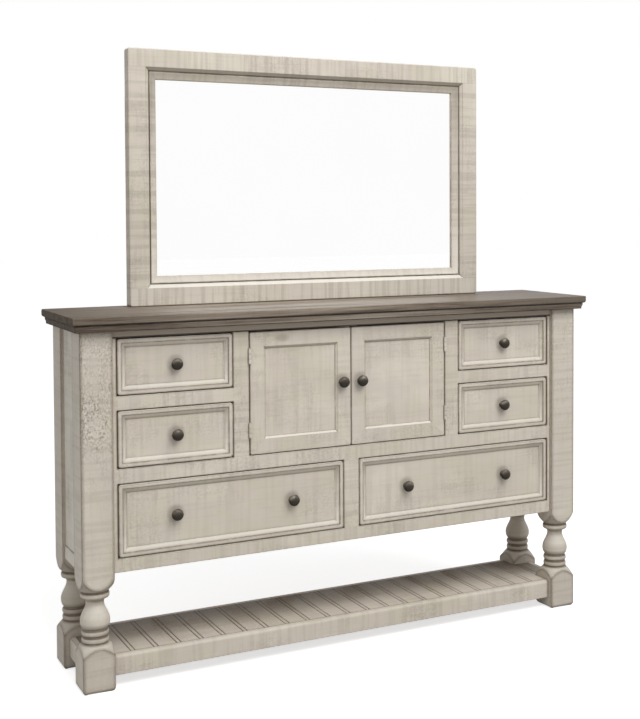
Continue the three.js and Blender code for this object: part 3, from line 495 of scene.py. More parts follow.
GROWTH = {"along": 1.6, "across": 30, "detail": 4, "roughness": 0.55}
GROWTH_SPAN = (0.35, 0.7)
BARE_FIBRE = {"along": 14, "across": 520}
BARE_FIBRE_SPAN = (0.5, 0.8)
BARE_FIBRE_SHARE = 0.35
BARE_RELIEF = (0.12, 0.5 * MM)
BARE_ROUGHNESS = (0.6, 0.15)
SPECKLE = {"along": 330, "across": 330, "detail": 3}
SPECKLE_SPAN = (0.4, 0.65)
BOARD_RELIEF = (0.1, 0.4 * MM)
BOARD_ROUGHNESS = (0.7, 0.1)
CAST = {"along": 260, "across": 260, "detail": 3}
BLOTCH = {"along": 70, "across": 70}
BLOTCH_SEED = 2
BLOTCH_SPAN = (0.40, 0.66)
# Painted highlight on the knobs' upper side and painted shade, near black, beneath, from the normal
LEAST_RUBBED_AND_LIT = 0.3
LIT_TOP_SPAN = (-0.1, 0.55)
SHADED_UNDER_SPAN = (-0.35, 0.38)
SHADED_UNDER_SHARE = 0.92
BRONZE_RELIEF = (0.3, 0.6 * MM)
BRONZE_ROUGHNESS = (0.28, 0.15)
BRONZE_METAL = 0.15
BRONZE_SPECULAR = 0.2
FAINT = {"along": 4, "across": 4, "detail": 1}
GLASS_ROUGHNESS = 0.012
BRUSH = {"along": 30, "across": 900}
STEEL_RELIEF = (0.08, 0.3 * MM)
STEEL_ROUGHNESS = (0.35, 0.15)
STEEL_METAL = 0.95


def uneven(roughness, pattern):
    least, added = roughness
    return least + added * pattern


def bare(name, grain, seed=0.0):
    """Unpainted wood with soft growth lines."""
    finish = Finish(name, grain)
    s = finish.shader
    growth, fibre = s.noise(seed, **GROWTH), s.noise(seed, **BARE_FIBRE)
    colour = s.mix(growth.between(*GROWTH_SPAN), BARE, BARE_DARK)
    colour = s.mix(fibre.between(*BARE_FIBRE_SPAN) * BARE_FIBRE_SHARE, colour, BARE_DARK)
    return finish.end(relief=(fibre, *BARE_RELIEF), Color=colour, Roughness=uneven(BARE_ROUGHNESS, growth))


def pressed_board(name):
    finish = Finish(name)
    speckle = finish.shader.noise(0, **SPECKLE)
    colour = finish.shader.mix(speckle.between(*SPECKLE_SPAN), BOARD, BOARD_DARK)
    return finish.end(relief=(speckle, *BOARD_RELIEF), Color=colour, Roughness=uneven(BOARD_ROUGHNESS, speckle))


def bronze(name):
    """Dark cast bronze: a painted highlight on top, broken up by rubbed places, and painted shade beneath."""
    finish = Finish(name)
    s = finish.shader
    cast = s.noise(0, **CAST)
    blotch = s.noise(BLOTCH_SEED, **BLOTCH).between(*BLOTCH_SPAN)
    upwards = s.axes("Normal")[2]
    # Painted highlight on top, broken up by rubbed places, and painted shade underneath
    colour = s.over(
        BRONZE,
        ((LEAST_RUBBED_AND_LIT + (1 - LEAST_RUBBED_AND_LIT) * blotch) * upwards.between(*LIT_TOP_SPAN), BRONZE_RUBBED_AND_LIT),
        ((1 - upwards.between(*SHADED_UNDER_SPAN)) * SHADED_UNDER_SHARE, PAINTED_SHADOW_BLACK),
    )
    return finish.end(
        relief=(cast, *BRONZE_RELIEF), Color=colour, Metallic=BRONZE_METAL, Specular_IOR_Level=BRONZE_SPECULAR,
        Roughness=uneven(BRONZE_ROUGHNESS, cast),
    )


def silvered_glass(name):
    finish = Finish(name)
    colour = finish.shader.mix(finish.shader.noise(0, **FAINT), GLASS, GLASS_LIGHT)
    return finish.end(Color=colour, Metallic=1.0, Roughness=GLASS_ROUGHNESS)


def dull_steel(name):
    finish = Finish(name)
    brush = finish.shader.noise(0, **BRUSH)
    colour = finish.shader.mix(brush, STEEL, STEEL_LIGHT)
    roughness = uneven(STEEL_ROUGHNESS, brush)
    return finish.end(relief=(brush, *STEEL_RELIEF), Color=colour, Metallic=STEEL_METAL, Roughness=roughness)


# Studio: pale floor, white surroundings, soft lamps

WORLD_FILL = 0.33
FLOOR_SIZE = 60
FLOOR_DROP = -0.5 * MM
FLOOR_COLOUR = (0.62, 0.62, 0.61, 1)
FLOOR_SEEN = (0.9, 0.9, 0.9, 1)
FLOOR_GLOW = (0.66, 0.66, 0.66, 1)
FLOOR_ROUGHNESS = 0.9
LAMP_AIM = (0, 0, 0.8)
KEY_PLACE = (0.6, -3.5, 5.0)
KEY_SIZE = (4.6, 3.4)
KEY_POWER = 232
FILL_PLACE = (-4.2, -2.4, 2.6)
FILL_SIZE = (2.4, 2.4)
FILL_POWER = 22


def make_lamp(name, place, size, power):
    data = bpy.data.lights.new(name, "AREA")
    data.shape = "RECTANGLE"
    data.size, data.size_y = size
    data.energy = power
    lamp = bpy.data.objects.new(name, data)
    bpy.context.scene.collection.objects.link(lamp)
    lamp.location = place
    lamp.rotation_euler = (Vector(place) - Vector(LAMP_AIM)).to_track_quat("Z", "Y").to_euler()


def seen_ray(shader):
    """1 for what the camera sees, straight or in metal and glass."""
    rays = ("Is Camera Ray", "Is Glossy Ray", "Is Transmission Ray")
    camera, glossy, through = (shader.node("ShaderNodeLightPath", output=ray) for ray in rays)
    return (camera + glossy + through).least(1)


def make_world():
    world = bpy.data.worlds.new("studio")
    bpy.context.scene.world = world
    world.use_nodes = True
    shader = Shader(world.node_tree)
    strength = seen_ray(shader) * (1 - WORLD_FILL) + WORLD_FILL
    shader.node("ShaderNodeBackground", sockets={"Color": WHITE, "Strength": strength}, end="World")


def make_floor():
    bpy.ops.mesh.primitive_plane_add(size=FLOOR_SIZE, location=(0, 0, FLOOR_DROP))
    floor = bpy.context.object
    floor.name = "floor"
    finish = Finish("floor")
    seen = seen_ray(finish.shader)
    colour = finish.shader.mix(seen, FLOOR_COLOUR, FLOOR_SEEN)
    glow = finish.shader.mix(seen, BLACK, FLOOR_GLOW)
    finish.end(Color=colour, Emission_Color=glow, Emission_Strength=1.0, Roughness=FLOOR_ROUGHNESS)
    floor.data.materials.append(finish.material)


# Shaping

SMOOTH_ANGLE = 42
FLAT_ANGLE = 1
EDGE_ANGLE = 30
EASED_STEPS = 2
MERGED = 0.01 * MM

# The width of the eased edges, in millimetres, by the end of the node's name

EASED_EDGES = {
    "top_board": 1, "top_edge_moulding": 0.8, "mirror_support": 2, "mirror_backboard": 0.5, "mirror_glass": 0.4,
    "face_frame": 1.2, "side_panel": 1, "door_panel": 0.6, "hinge_case_leaf": 0.25, "hinge_door_leaf": 0.25,
    "shelf_front_rail": 1.5, "shelf_back_rail": 3, "shelf_left_rail": 2.5, "shelf_right_rail": 2.5,
    "shelf_planks": 0.5, "back_panel": 0.5, "deck": 0.6, "partition": 0.6, "drawer_box": 0.8, "door_catch": 0.3,
}


def deselect():
    bpy.ops.object.select_all(action="DESELECT")


def middle_of(node):
    """The middle of a CAD node's box."""
    return [(a + b) / 2 for a, b in zip(*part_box(node))]


def take_up(piece):
    """Makes a piece the only selected and active one."""
    deselect()
    piece.select_set(True)
    bpy.context.view_layer.objects.active = piece


def apply_modifiers(piece):
    take_up(piece)
    for modifier in list(piece.modifiers):
        bpy.ops.object.modifier_apply(modifier=modifier.name)


def shade(piece):
    """Smooth within rounded places, sharp at corners, and true flats."""
    take_up(piece)
    bpy.ops.object.shade_smooth_by_angle(angle=math.radians(SMOOTH_ANGLE))
    shading = piece.modifiers.new("flat_faces_lead", "WEIGHTED_NORMAL")
    shading.keep_sharp = True
    apply_modifiers(piece)


def ease_edges(piece, width, angle):
    """Rounds every edge that turns by more than the angle."""
    edge = piece.modifiers.new("eased_edges", "BEVEL")
    edge.width = width
    edge.segments = EASED_STEPS
    edge.limit_method = "ANGLE"
    edge.angle_limit = math.radians(angle)
    apply_modifiers(piece)
    bpy.ops.object.mode_set(mode="EDIT")
    bpy.ops.mesh.select_all(action="SELECT")
    bpy.ops.mesh.remove_doubles(threshold=2 * MERGED)
    bpy.ops.mesh.dissolve_degenerate(threshold=2 * MERGED)
    bpy.ops.object.mode_set(mode="OBJECT")
    shade(piece)


def stand_for(piece, node, material):
    """Puts a finished piece in a CAD node's stead."""
    piece.data.materials.clear()
    piece.data.materials.append(material)
    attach(piece, body_of[node])
    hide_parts(node)


def eased(node, material, angle=EDGE_ANGLE, reshape=None):
    """A merged copy of a CAD node with eased edges. The function reshape works on it before that."""
    width = next(width for ending, width in EASED_EDGES.items() if node.endswith(ending)) * MM
    piece = bpy.data.objects.new(f"{node}_eased", nodes[node].data.copy())
    bpy.context.scene.collection.objects.link(piece)
    take_up(piece)
    bpy.ops.mesh.customdata_custom_splitnormals_clear()
    bpy.ops.object.mode_set(mode="EDIT")
    bpy.ops.mesh.select_all(action="SELECT")
    bpy.ops.mesh.remove_doubles(threshold=MERGED)
    bpy.ops.mesh.dissolve_limited(angle_limit=math.radians(FLAT_ANGLE))
    bpy.ops.object.mode_set(mode="OBJECT")
    if reshape:
        reshape(piece)
    ease_edges(piece, width, angle)
    stand_for(piece, node, material)


def spun(name, outline, steps):
    """A solid turned about Z. The outline's points are radius and height, from one end to the other."""
    deselect()
    bpy.ops.mesh.primitive_plane_add(size=1, location=(0, 0, 0))
    piece = bpy.context.object
    piece.name = name
    bpy.ops.object.mode_set(mode="EDIT")
    bpy.ops.mesh.select_mode(type="VERT")
    bpy.ops.mesh.select_all(action="SELECT")
    bpy.ops.mesh.merge(type="CENTER")
    first = outline[0]
    bpy.ops.transform.translate(value=(first[0], 0, first[1]))
    for (radius, height), (next_radius, next_height) in zip(outline, outline[1:]):
        step = (next_radius - radius, 0, next_height - height)
        bpy.ops.mesh.extrude_vertices_move(TRANSFORM_OT_translate={"value": step})
    bpy.ops.mesh.select_all(action="SELECT")
    bpy.ops.mesh.spin(steps=steps, angle=math.tau, center=(0, 0, 0), axis=(0, 0, 1))
    bpy.ops.mesh.select_all(action="SELECT")
    bpy.ops.mesh.remove_doubles(threshold=MERGED)
    bpy.ops.mesh.select_all(action="SELECT")
    bpy.ops.mesh.normals_make_consistent(inside=False)
    bpy.ops.object.mode_set(mode="OBJECT")
    return piece


def copy_of(pattern, name, place):
    """A copy of a pattern piece, moved to its place."""
    copy = bpy.data.objects.new(name, pattern.data.copy())
    bpy.context.scene.collection.objects.link(copy)
    copy.data.transform(place)
    return copy


def smoothed(points, steps):
    """A rounder outline through the same points. Each point is radius, height and whether it is a corner."""
    rounder = []
    for i in range(len(points) - 1):
        a, b = points[i], points[i + 1]
        before = a if a[2] or i == 0 else points[i - 1]
        after = b if b[2] or i + 2 == len(points) else points[i + 2]
        for k in range(steps):
            t = k / steps
            rounder.append(tuple(
                0.5 * (2 * a[c] + (b[c] - before[c]) * t
                       + (2 * before[c] - 5 * a[c] + 4 * b[c] - after[c]) * t ** 2
                       + (3 * a[c] - before[c] - 3 * b[c] + after[c]) * t ** 3)
                for c in (0, 1)
            ))
    rounder.append(points[-1][:2])
    return rounder


def select_edges(piece, wanted):
    """Selects the edges whose two ends satisfy wanted, and leaves the piece in edit mode."""
    bpy.ops.object.mode_set(mode="EDIT")
    bpy.ops.mesh.select_mode(type="EDGE")
    bpy.ops.mesh.select_all(action="DESELECT")
    bpy.ops.object.mode_set(mode="OBJECT")
    for edge in piece.data.edges:
        ends = [piece.data.vertices[i].co for i in edge.vertices]
        edge.select = wanted(*ends)
    bpy.ops.object.mode_set(mode="EDIT")


# The moulding under the top, its cove filled out nearly flush, and the shelf's rounded front

LIP_TOP = 5.5 * MM
RIM_INSET = 9 * MM
RIM_SEARCHED = 17 * MM
RIM_MARGINS = (0.99, 0.95)
RIM_OUTWARDS = 6 * MM
RAIL_ROUNDING = 11 * MM
RAIL_STEPS = 6


def fill_out_cove(moulding):
    """Moves the lower rim of the moulding frame outwards, and leaves the rail that hangs from it."""
    low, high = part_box("top_edge_moulding")
    case_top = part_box("front_left_leg")[1][2]
    middle = (low[1] + high[1]) / 2
    halves = (high[0], high[1] - middle)
    bounds = [(half - RIM_SEARCHED) * margin for half, margin in zip(halves, RIM_MARGINS)]

    def on_rim(*ends):
        return all(
            -MM < end.z - case_top < LIP_TOP
            and (abs(end.x) > bounds[0] or abs(end.y - middle) > bounds[1])
            for end in ends
        )

    select_edges(moulding, on_rim)
    rims = [half - RIM_INSET for half in halves]
    wider = [(rim + RIM_OUTWARDS) / rim for rim in rims]
    bpy.ops.transform.resize(value=(wider[0], wider[1], 1), center_override=(0, middle, 0))
    bpy.ops.object.mode_set(mode="OBJECT")


def round_front(rail):
    low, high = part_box("shelf_front_rail")
    select_edges(rail, lambda a, b: all(v.y < low[1] + MM and v.z > high[2] - MM for v in (a, b)))
    bpy.ops.mesh.bevel(offset=RAIL_ROUNDING, segments=RAIL_STEPS)
    bpy.ops.object.mode_set(mode="OBJECT")


# The side panels' outer faces, nearer to the outer faces of the legs

PANEL_OUTWARDS = 8 * MM
OUTER_LAYER = 4 * MM


def bring_out(side):
    low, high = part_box(f"{side}_side_panel")
    outer, outwards = (low[0], -PANEL_OUTWARDS) if side == "left" else (high[0], PANEL_OUTWARDS)

    def reshape(panel):
        select_edges(panel, lambda a, b: all(abs(v.x - outer) < OUTER_LAYER for v in (a, b)))
        bpy.ops.transform.translate(value=(outwards, 0, 0))
        bpy.ops.object.mode_set(mode="OBJECT")

    return reshape


# Mouldings led round an upright rectangle

CORNER_STEPS = 6


def led_shell(name, box, profile, radius=0.0, keeps_back=False, fills_front=False):
    """An open shell along a profile. Its points are the inset from the rectangle's edge and the depth
    behind its front."""
    low, high = box
    sides = (high[0] - low[0], high[2] - low[2])
    centre = Vector(((low[0] + high[0]) / 2, low[1], (low[2] + high[2]) / 2))
    inset, depth = profile[0]
    deselect()
    bpy.ops.mesh.primitive_plane_add(
        size=1, location=centre + Vector((0, depth, 0)), rotation=(math.radians(90), 0, 0),
    )
    shell = bpy.context.object
    shell.name = name
    shell.scale = (sides[0] - 2 * inset, sides[1] - 2 * inset, 1)
    bpy.ops.object.transform_apply(location=True, rotation=True, scale=True)
    bpy.ops.object.mode_set(mode="EDIT")
    bpy.ops.mesh.select_mode(type="EDGE")
    bpy.ops.mesh.select_all(action="SELECT")
    if radius:
        bpy.ops.mesh.bevel(offset=radius, affect="VERTICES", segments=CORNER_STEPS)
        bpy.ops.mesh.select_all(action="SELECT")
    if not keeps_back:
        bpy.ops.mesh.delete(type="ONLY_FACE")
        bpy.ops.mesh.select_all(action="SELECT")
    for (inset, depth), (next_inset, next_depth) in zip(profile, profile[1:]):
        step = (0, next_depth - depth, 0)
        bpy.ops.mesh.extrude_edges_move(TRANSFORM_OT_translate={"value": step})
        shrink = [(side - 2 * next_inset) / (side - 2 * inset) for side in sides]
        bpy.ops.transform.resize(value=(shrink[0], 1, shrink[1]), center_override=centre)
    if fills_front:
        bpy.ops.mesh.edge_face_add()
    bpy.ops.object.mode_set(mode="OBJECT")
    return shell


def led_round(name, box, outer, inner, radius, is_frame=False):
    """A board or a frame with rounded outer corners and mitred inner mouldings. The outer profile runs from
    the back to the front face, the inner one from the front face inwards."""
    outside = led_shell(f"{name}_outside", box, outer, radius, keeps_back=not is_frame)
    inside = led_shell(name, box, inner, fills_front=not is_frame)
    outside.select_set(True)
    bpy.ops.object.join()
    open_depths = [outer[-1][1], outer[0][1]] if is_frame else [outer[-1][1]]
    for depth in open_depths:
        level = box[0][1] + depth
        select_edges(inside, lambda a, b: max(abs(a.y - level), abs(b.y - level)) < MERGED)
        bpy.ops.mesh.bridge_edge_loops()
    bpy.ops.mesh.select_all(action="SELECT")
    bpy.ops.mesh.normals_make_consistent(inside=False)
    bpy.ops.object.mode_set(mode="OBJECT")
    shade(inside)
    return inside


def in_metres(profile):
    return [(inset * MM, depth * MM) for inset, depth in profile]


# Drawer fronts, in millimetres: a rim, a small step and a sloping moulding down to the flat

FRONT_RIM = in_metres([(0, 20), (0, 2.4), (0.3, 1.2), (1.2, 0.3), (2.4, 0)])
FRONT_SLOPE = in_metres([
    (11, 0), (11.8, 0.3), (12.2, 1.1), (12.3, 2.3), (13.4, 2.5), (17, 3.9), (20.6, 5.8), (23.6, 7.8),
    (25.4, 9.3), (26.2, 9.6), (27, 9.2),
])
FRONT_CORNER = 8.5 * MM

# Door frames, in millimetres: a flat, a bevel down to the panel, and the groove that holds it

DOOR_EDGE = in_metres([(0, 20), (0, 1.8), (0.5, 0.5), (1.8, 0)])
DOOR_BEVEL = in_metres([
    (44.5, 0), (45.3, 0.2), (46, 0.8), (52.6, 6.7), (53, 7.7), (44, 7.7), (44, 15.3), (53, 15.3), (53, 20),
])
DOOR_CORNER = 5 * MM

# Mirror frame, in millimetres: a chamfer at the back, a flat, a step, a quirk and a moulding down to the glass

MIRROR_EDGE = in_metres([(11, 55), (0, 35), (0, 4), (0.6, 2), (2, 0.6), (4, 0)])
MIRROR_MOULDING = in_metres([
    (56, 0), (57.2, 0.4), (58.6, 1.6), (62, 4.6), (66, 7.4), (67.4, 8.4), (68.2, 11.6), (70.6, 12), (71.4, 9),
    (73, 9.2), (76, 10.9), (80, 13.4), (85, 16), (90, 18.4), (92.4, 19.3), (94, 20.4), (94, 26), (84, 26),
    (84, 55),
])
MIRROR_CORNER = 9 * MM


def make_moulded(node, outer, inner, radius, material, is_frame=False):
    piece = led_round(f"{node}_moulded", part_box(node), outer, inner, radius, is_frame)
    stand_for(piece, node, material)


# Turned legs: the outline of the turning in millimetres, radius, height and whether it has a corner there

TURNING = [
    (71.6, 100, True), (62, 110, False), (54, 119.5, False), (47.8, 127.5, False), (42, 134, False),
    (36.5, 139.5, True), (38.6, 143, False), (38.6, 152, False), (34.5, 157, True),
    (34.5, 160, True), (38.8, 163.5, False), (39, 172, False), (34.6, 177.5, True),
    (35.2, 180.5, True), (39.5, 186, False), (42.3, 194, False), (43, 203, False), (41.6, 213, False),
    (37.5, 224, False), (31.5, 236, False), (27, 247, False), (25.9, 256, False), (27.5, 263, False),
    (33, 268.5, True), (39.5, 270.5, False), (42, 276, False), (41.5, 283, False), (38, 288, True),
    (41, 291.5, False), (47.8, 298, False), (56, 309, False), (63, 323, False), (68, 342, False),
    (71.6, 352, True),
]
TURNING_STEPS = 96
OUTLINE_STEPS = 3
LEG_ARRIS = 4 * MM
ARRIS_STEPS = 3
FOOT_EDGE = 11 * MM
FOOT_STEPS = 4
SHOULDER_EDGE = 1.4 * MM
SHOULDER_ANGLE = 38


def leg_solid(size, height):
    """One leg centred on the Z axis: a square post, rounded on its long edges and under its foot, kept only
    where the turned outline is as well."""
    deselect()
    bpy.ops.mesh.primitive_cube_add(size=1, location=(0, 0, height / 2))
    post = bpy.context.object
    post.name = "leg_pattern"
    post.scale = (size, size, height)
    bpy.ops.object.transform_apply(location=True, rotation=True, scale=True)
    select_edges(post, lambda a, b: abs(a.z - b.z) > height / 2)
    bpy.ops.mesh.bevel(offset=LEG_ARRIS, segments=ARRIS_STEPS)
    select_edges(post, lambda a, b: a.z < height / 4 and b.z < height / 4)
    bpy.ops.mesh.bevel(offset=FOOT_EDGE, segments=FOOT_STEPS)
    bpy.ops.object.mode_set(mode="OBJECT")

    turning = [(r * MM, z * MM) for r, z in smoothed(TURNING, OUTLINE_STEPS)]
    outline = [(0, -size), (size, -size), (size, turning[0][1]), *turning, (size, turning[-1][1])]
    outline += [(size, height + size), (0, height + size)]
    round_part = spun("leg_turning", outline, TURNING_STEPS)
    both = post.modifiers.new("turned", "BOOLEAN")
    both.operation = "INTERSECT"
    both.solver = "EXACT"
    both.object = round_part
    apply_modifiers(post)
    bpy.data.objects.remove(round_part)
    ease_edges(post, SHOULDER_EDGE, SHOULDER_ANGLE)
    return post


def make_legs(materials):
    low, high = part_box("front_left_leg")
    pattern = leg_solid(high[0] - low[0], high[2] - low[2])
    for node, material in materials.items():
        x, y, _ = middle_of(node)
        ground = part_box(node)[0][2]
        leg = copy_of(pattern, f"{node}_turned", Matrix.Translation((x, y, ground)))
        stand_for(leg, node, material)
    bpy.data.objects.remove(pattern)


# Knobs: outline in millimetres from the face outwards

KNOB = [
    (0, 0, True), (11.2, 0, True), (11.5, 1.2, False), (10, 3.2, False), (6.7, 4.6, False), (5.8, 7, False),
    (6, 9.8, False), (9.4, 12, True), (14.8, 13.2, False), (17.6, 16.6, False), (17.6, 21, False),
    (14.8, 25.6, False), (8.6, 29, False), (0, 29.9, False),
]
KNOB_STEPS = 48
KNOB_SMOOTH_ANGLE = 50


def make_knobs(material):
    outline = [(max(r, 0) * MM, z * MM) for r, z in smoothed(KNOB, OUTLINE_STEPS)]
    pattern = spun("knob_pattern", outline, KNOB_STEPS)
    take_up(pattern)
    bpy.ops.object.shade_smooth_by_angle(angle=math.radians(KNOB_SMOOTH_ANGLE))
    to_front = Matrix.Rotation(math.radians(90), 4, "X")
    for node in nodes:
        if not node.endswith("knob"):
            continue
        x, _, z = middle_of(node)
        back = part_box(node)[1][1]
        knob = copy_of(pattern, f"{node}_cast", Matrix.Translation((x, back, z)) @ to_front)
        stand_for(knob, node, material)
    bpy.data.objects.remove(pattern)


# Screws in the mirror's supports, in millimetres, from the board outwards

SCREW = [
    (0, 0.2, True), (4.6, 0, True), (4.5, 0.7, False), (3.4, 1.7, False), (1.7, 2.1, True), (1.3, 1.1, True),
    (0, 1, True),
]
SCREW_STEPS = 20
SCREW_OUTLINE_STEPS = 2
SCREW_SUNK = 0.1 * MM
SCREW_HEIGHTS = (0.725, 0.985, 1.135, 1.43, 1.715)


def make_screws(material):
    outline = [(max(r, 0) * MM, z * MM) for r, z in smoothed(SCREW, SCREW_OUTLINE_STEPS)]
    pattern = spun("screw_pattern", outline, SCREW_STEPS)
    shade(pattern)
    outwards = Matrix.Rotation(math.radians(-90), 4, "X")
    for side in SIDES:
        node = f"{side}_mirror_support"
        x = middle_of(node)[0]
        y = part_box(node)[1][1] - SCREW_SUNK
        for count, height in enumerate(SCREW_HEIGHTS, 1):
            place = Matrix.Translation((x, y, height)) @ outwards
            screw = copy_of(pattern, f"{node}_screw_{count}", place)
            screw.data.materials.append(material)
            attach(screw, body_of[node])
    bpy.data.objects.remove(pattern)


# Where boards stand on end, and where they meet

MIRROR_FLAT = 57 * MM
DRAWER_BORDER = 27 * MM
JOINT = 0.6 * MM
MITRE_SHARE = 0.4


def from_edges(node, x, z):
    """How far a place lies within the sides and within the ends of a node's box."""
    low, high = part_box(node)
    return (x - low[0]).least(high[0] - x), (z - low[2]).least(high[2] - z)


def mitred(node, border=1.0):
    """A frame with mitred corners: its sides stand on end within the border."""

    def boards(x, y, z):
        from_side, from_end = from_edges(node, x, z)
        framed = from_side.least(from_end) < border
        return (from_side < from_end) * framed, (from_side - from_end).within(JOINT) * framed * MITRE_SHARE

    return boards


def mirror_boards(x, y, z):
    """The mirror frame: flat rails that run right across, stiles between them, and a mitred moulding."""
    from_side, from_end = from_edges("mirror_frame", x, z)
    flat = from_side.least(from_end) < MIRROR_FLAT
    stile = flat * (from_end > MIRROR_FLAT)
    moulding = (1 - flat) * (from_side < from_end)
    butt = (from_side < MIRROR_FLAT) * (from_end - MIRROR_FLAT).within(JOINT)
    mitre = (1 - flat) * (from_side - from_end).within(JOINT)
    return stile + moulding, butt + mitre


def face_boards(x, y, z):
    """The face frame: stiles at the ends, beside the doors and between the wide drawers."""
    wide_low, wide_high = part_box("left_wide_drawer_front")
    door_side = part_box("left_door_frame")[0][0]
    small_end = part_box("left_small_upper_drawer_front")[1][0]
    middle_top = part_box("left_small_lower_drawer_front")[0][2]
    out = abs(x)
    beside_door = (out > -door_side) * (out < -small_end)
    between_wide = (out < -wide_high[0]) * (z > wide_low[2]) * (z < wide_high[2])
    upright = (beside_door * (z > middle_top) + between_wide + (out > -wide_low[0])).least(1)
    return upright, beside_door * (z - middle_top).within(JOINT)


# Where grime gathers, and where light and shade are painted

KNOB_MARK = (17 * MM, 33 * MM)
KNOB_MARK_SHARE = 0.3
# Glaze and painted shade on the recessed strips beside the drawers
GAP_DIRT_AND_SHADE = 5 * MM
STRIP_MIDDLE = 1 * MM
STRIP_SPAN = (0.4 * GAP_DIRT_AND_SHADE, 1.4 * GAP_DIRT_AND_SHADE)
STRIP_SHARE = 0.7
# Painted shadow beside the hinge barrels
HINGE_SHADOW_LINE = (0.5 * MM, 2.5 * MM)
HINGE_SHADOW_SHARE = 0.55
# Painted shadow along the top edge of each door
DOOR_TOP_SHADOW = 4 * MM
DOOR_TOP_SHADOW_SHARE = 0.7
SMUDGE_ALONG = 0.31
SMUDGE_BELOW = 22 * MM
SMUDGE_HALF = (24, 13)
SMUDGE_SPAN = (0.3, 1.4)
LEG_SHARE = 0.06
LEG_LOW_SHARE = 0.11
LEG_LOW_SPAN = (0.10, 0.26)
LEG_BACK_SHARE = 0.08
LEG_BACK_SPAN = (-0.02, 0.02)
POST_SHARE = 0.08
POST_HIGH_SPAN = (0.55, 0.80)
POST_FRONT_SPAN = (-0.160, -0.150)
# Painted light on the mirror's lowest rail
LOW_RAIL_LIGHT_SPAN = (0.5 * MIRROR_FLAT, 2 * MIRROR_FLAT)
LOW_RAIL_LIGHT_SHARE = 0.4
# Painted shade on the shelf planks
PLANK_SHADE_SHARE = 0.95


def hinge_shadows(x, z):
    """A thin painted shadow beside each hinge's barrel."""
    marks = 0
    for height in ("upper", "lower"):
        low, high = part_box(f"right_{height}_hinge_case_leaf")
        away_x = abs(abs(x) - (low[0] + high[0]) / 2)
        away_z = abs(z - (low[2] + high[2]) / 2)
        half_x, half_z = (high[0] - low[0]) / 2, (high[2] - low[2]) / 2
        beside = 1 - away_x.between(*(half_x + end for end in HINGE_SHADOW_LINE))
        marks = beside * away_z.within(half_z + MM) + marks
    return marks * HINGE_SHADOW_SHARE


def along_posts(x, y, z):
    """The painted shadows beside the hinges, and glaze with painted shade on the narrow recessed strips of the
    face frame between a post and its drawers.
    """
    fronts = [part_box(f"left_{drawer}_drawer_front") for drawer in DRAWERS]
    beside = 1 - abs(abs(x) + fronts[0][0][0] - STRIP_MIDDLE).between(*STRIP_SPAN)
    rows = 0
    for low, high in fronts:
        middle = (low[2] + high[2]) / 2
        half = (high[2] - low[2]) / 2
        rows = (1 - abs(z - middle).between(half - GAP_DIRT_AND_SHADE, half + GAP_DIRT_AND_SHADE)) + rows
    return beside * rows * STRIP_SHARE + hinge_shadows(x, z)


def door_marks_and_shadows(node, smudge=0.0):
    """The mark round its knob, a painted shadow along its top edge, a smudge on the top rail, and the painted
    shadows beside the hinges.
    """
    rubbed = round_knobs(node)
    low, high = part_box(node)
    spot = (low[0] + SMUDGE_ALONG * (high[0] - low[0]), high[2] - SMUDGE_BELOW)

    def soil_and_shade(x, y, z):
        away = (((x - spot[0]) / SMUDGE_HALF[0]) ** 2 + ((z - spot[1]) / SMUDGE_HALF[1]) ** 2) ** 0.5 / MM
        smudged = smudge * (1 - away.between(*SMUDGE_SPAN))
        # Painted shadow along the door's top edge
        line = DOOR_TOP_SHADOW_SHARE * z.between(high[2] - DOOR_TOP_SHADOW, high[2])
        return rubbed(x, y, z) + line + smudged + hinge_shadows(x, z)

    return soil_and_shade


def round_knobs(node):
    """A mark rubbed round the knobs that sit on the same body."""
    knobs = [knob for knob in nodes if knob.endswith("knob") and body_of[knob] == body_of[node]]

    def soil_and_shade(x, y, z):
        nearest = None
        for knob in knobs:
            knob_x, _, knob_z = middle_of(knob)
            away = ((x - knob_x) * (x - knob_x) + (z - knob_z) * (z - knob_z)) ** 0.5
            nearest = away if nearest is None else nearest.least(away)
        return KNOB_MARK_SHARE - KNOB_MARK_SHARE * nearest.between(*KNOB_MARK)

    return soil_and_shade


def on_leg(x, y, z):
    """Dirt on a leg: a little everywhere, more near the floor and on the legs at the back."""
    low_down = LEG_LOW_SHARE * (1 - z.between(*LEG_LOW_SPAN))
    return LEG_SHARE + low_down + LEG_BACK_SHARE * y.between(*LEG_BACK_SPAN)


def upper_post(x, y, z):
    """Speckles on a leg: most on the front of the post's upper half."""
    return POST_SHARE + (1 - POST_SHARE) * z.between(*POST_HIGH_SPAN) * (1 - y.between(*POST_FRONT_SPAN))


def low_rail_painted_light(x, y, z):
    """Painted light on the mirror's lowest rail, lighter towards its foot, where little light comes off the
    dark top.
    """
    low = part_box("mirror_frame")[0][2]
    return LOW_RAIL_LIGHT_SHARE * (1 - z.between(*(low + end for end in LOW_RAIL_LIGHT_SPAN)))


def shade_on_planks(x, y, z):
    """Painted shade, darker towards the back of the shelf, where the case above shades it."""
    low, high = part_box("shelf_planks")
    return y.between(low[1], high[1]) * PLANK_SHADE_SHARE


# Every piece with its finish

PLANK_ANGLE = 25


def dress_legs():
    legs = {}
    for seed, (row, side) in enumerate((row, side) for row in ("front", "back") for side in SIDES):
        node = f"{row}_{side}_leg"
        mottle = 0.8 if node == "front_left_leg" else 0.22
        fresh_coat_and_light = 0.2 if side == "right" else 0.0
        legs[node] = painted(
            f"{node}_paint", "Z", seed=1.3 + seed, worn=17 * MM, mottle=mottle, sawn=0.28, fresh_coat_and_light=fresh_coat_and_light,
            lit_ledges=0.4, shaded_undersides=0.75, glaze=2.2, soil_and_shade=on_leg, flecked=upper_post,
        )
    make_legs(legs)


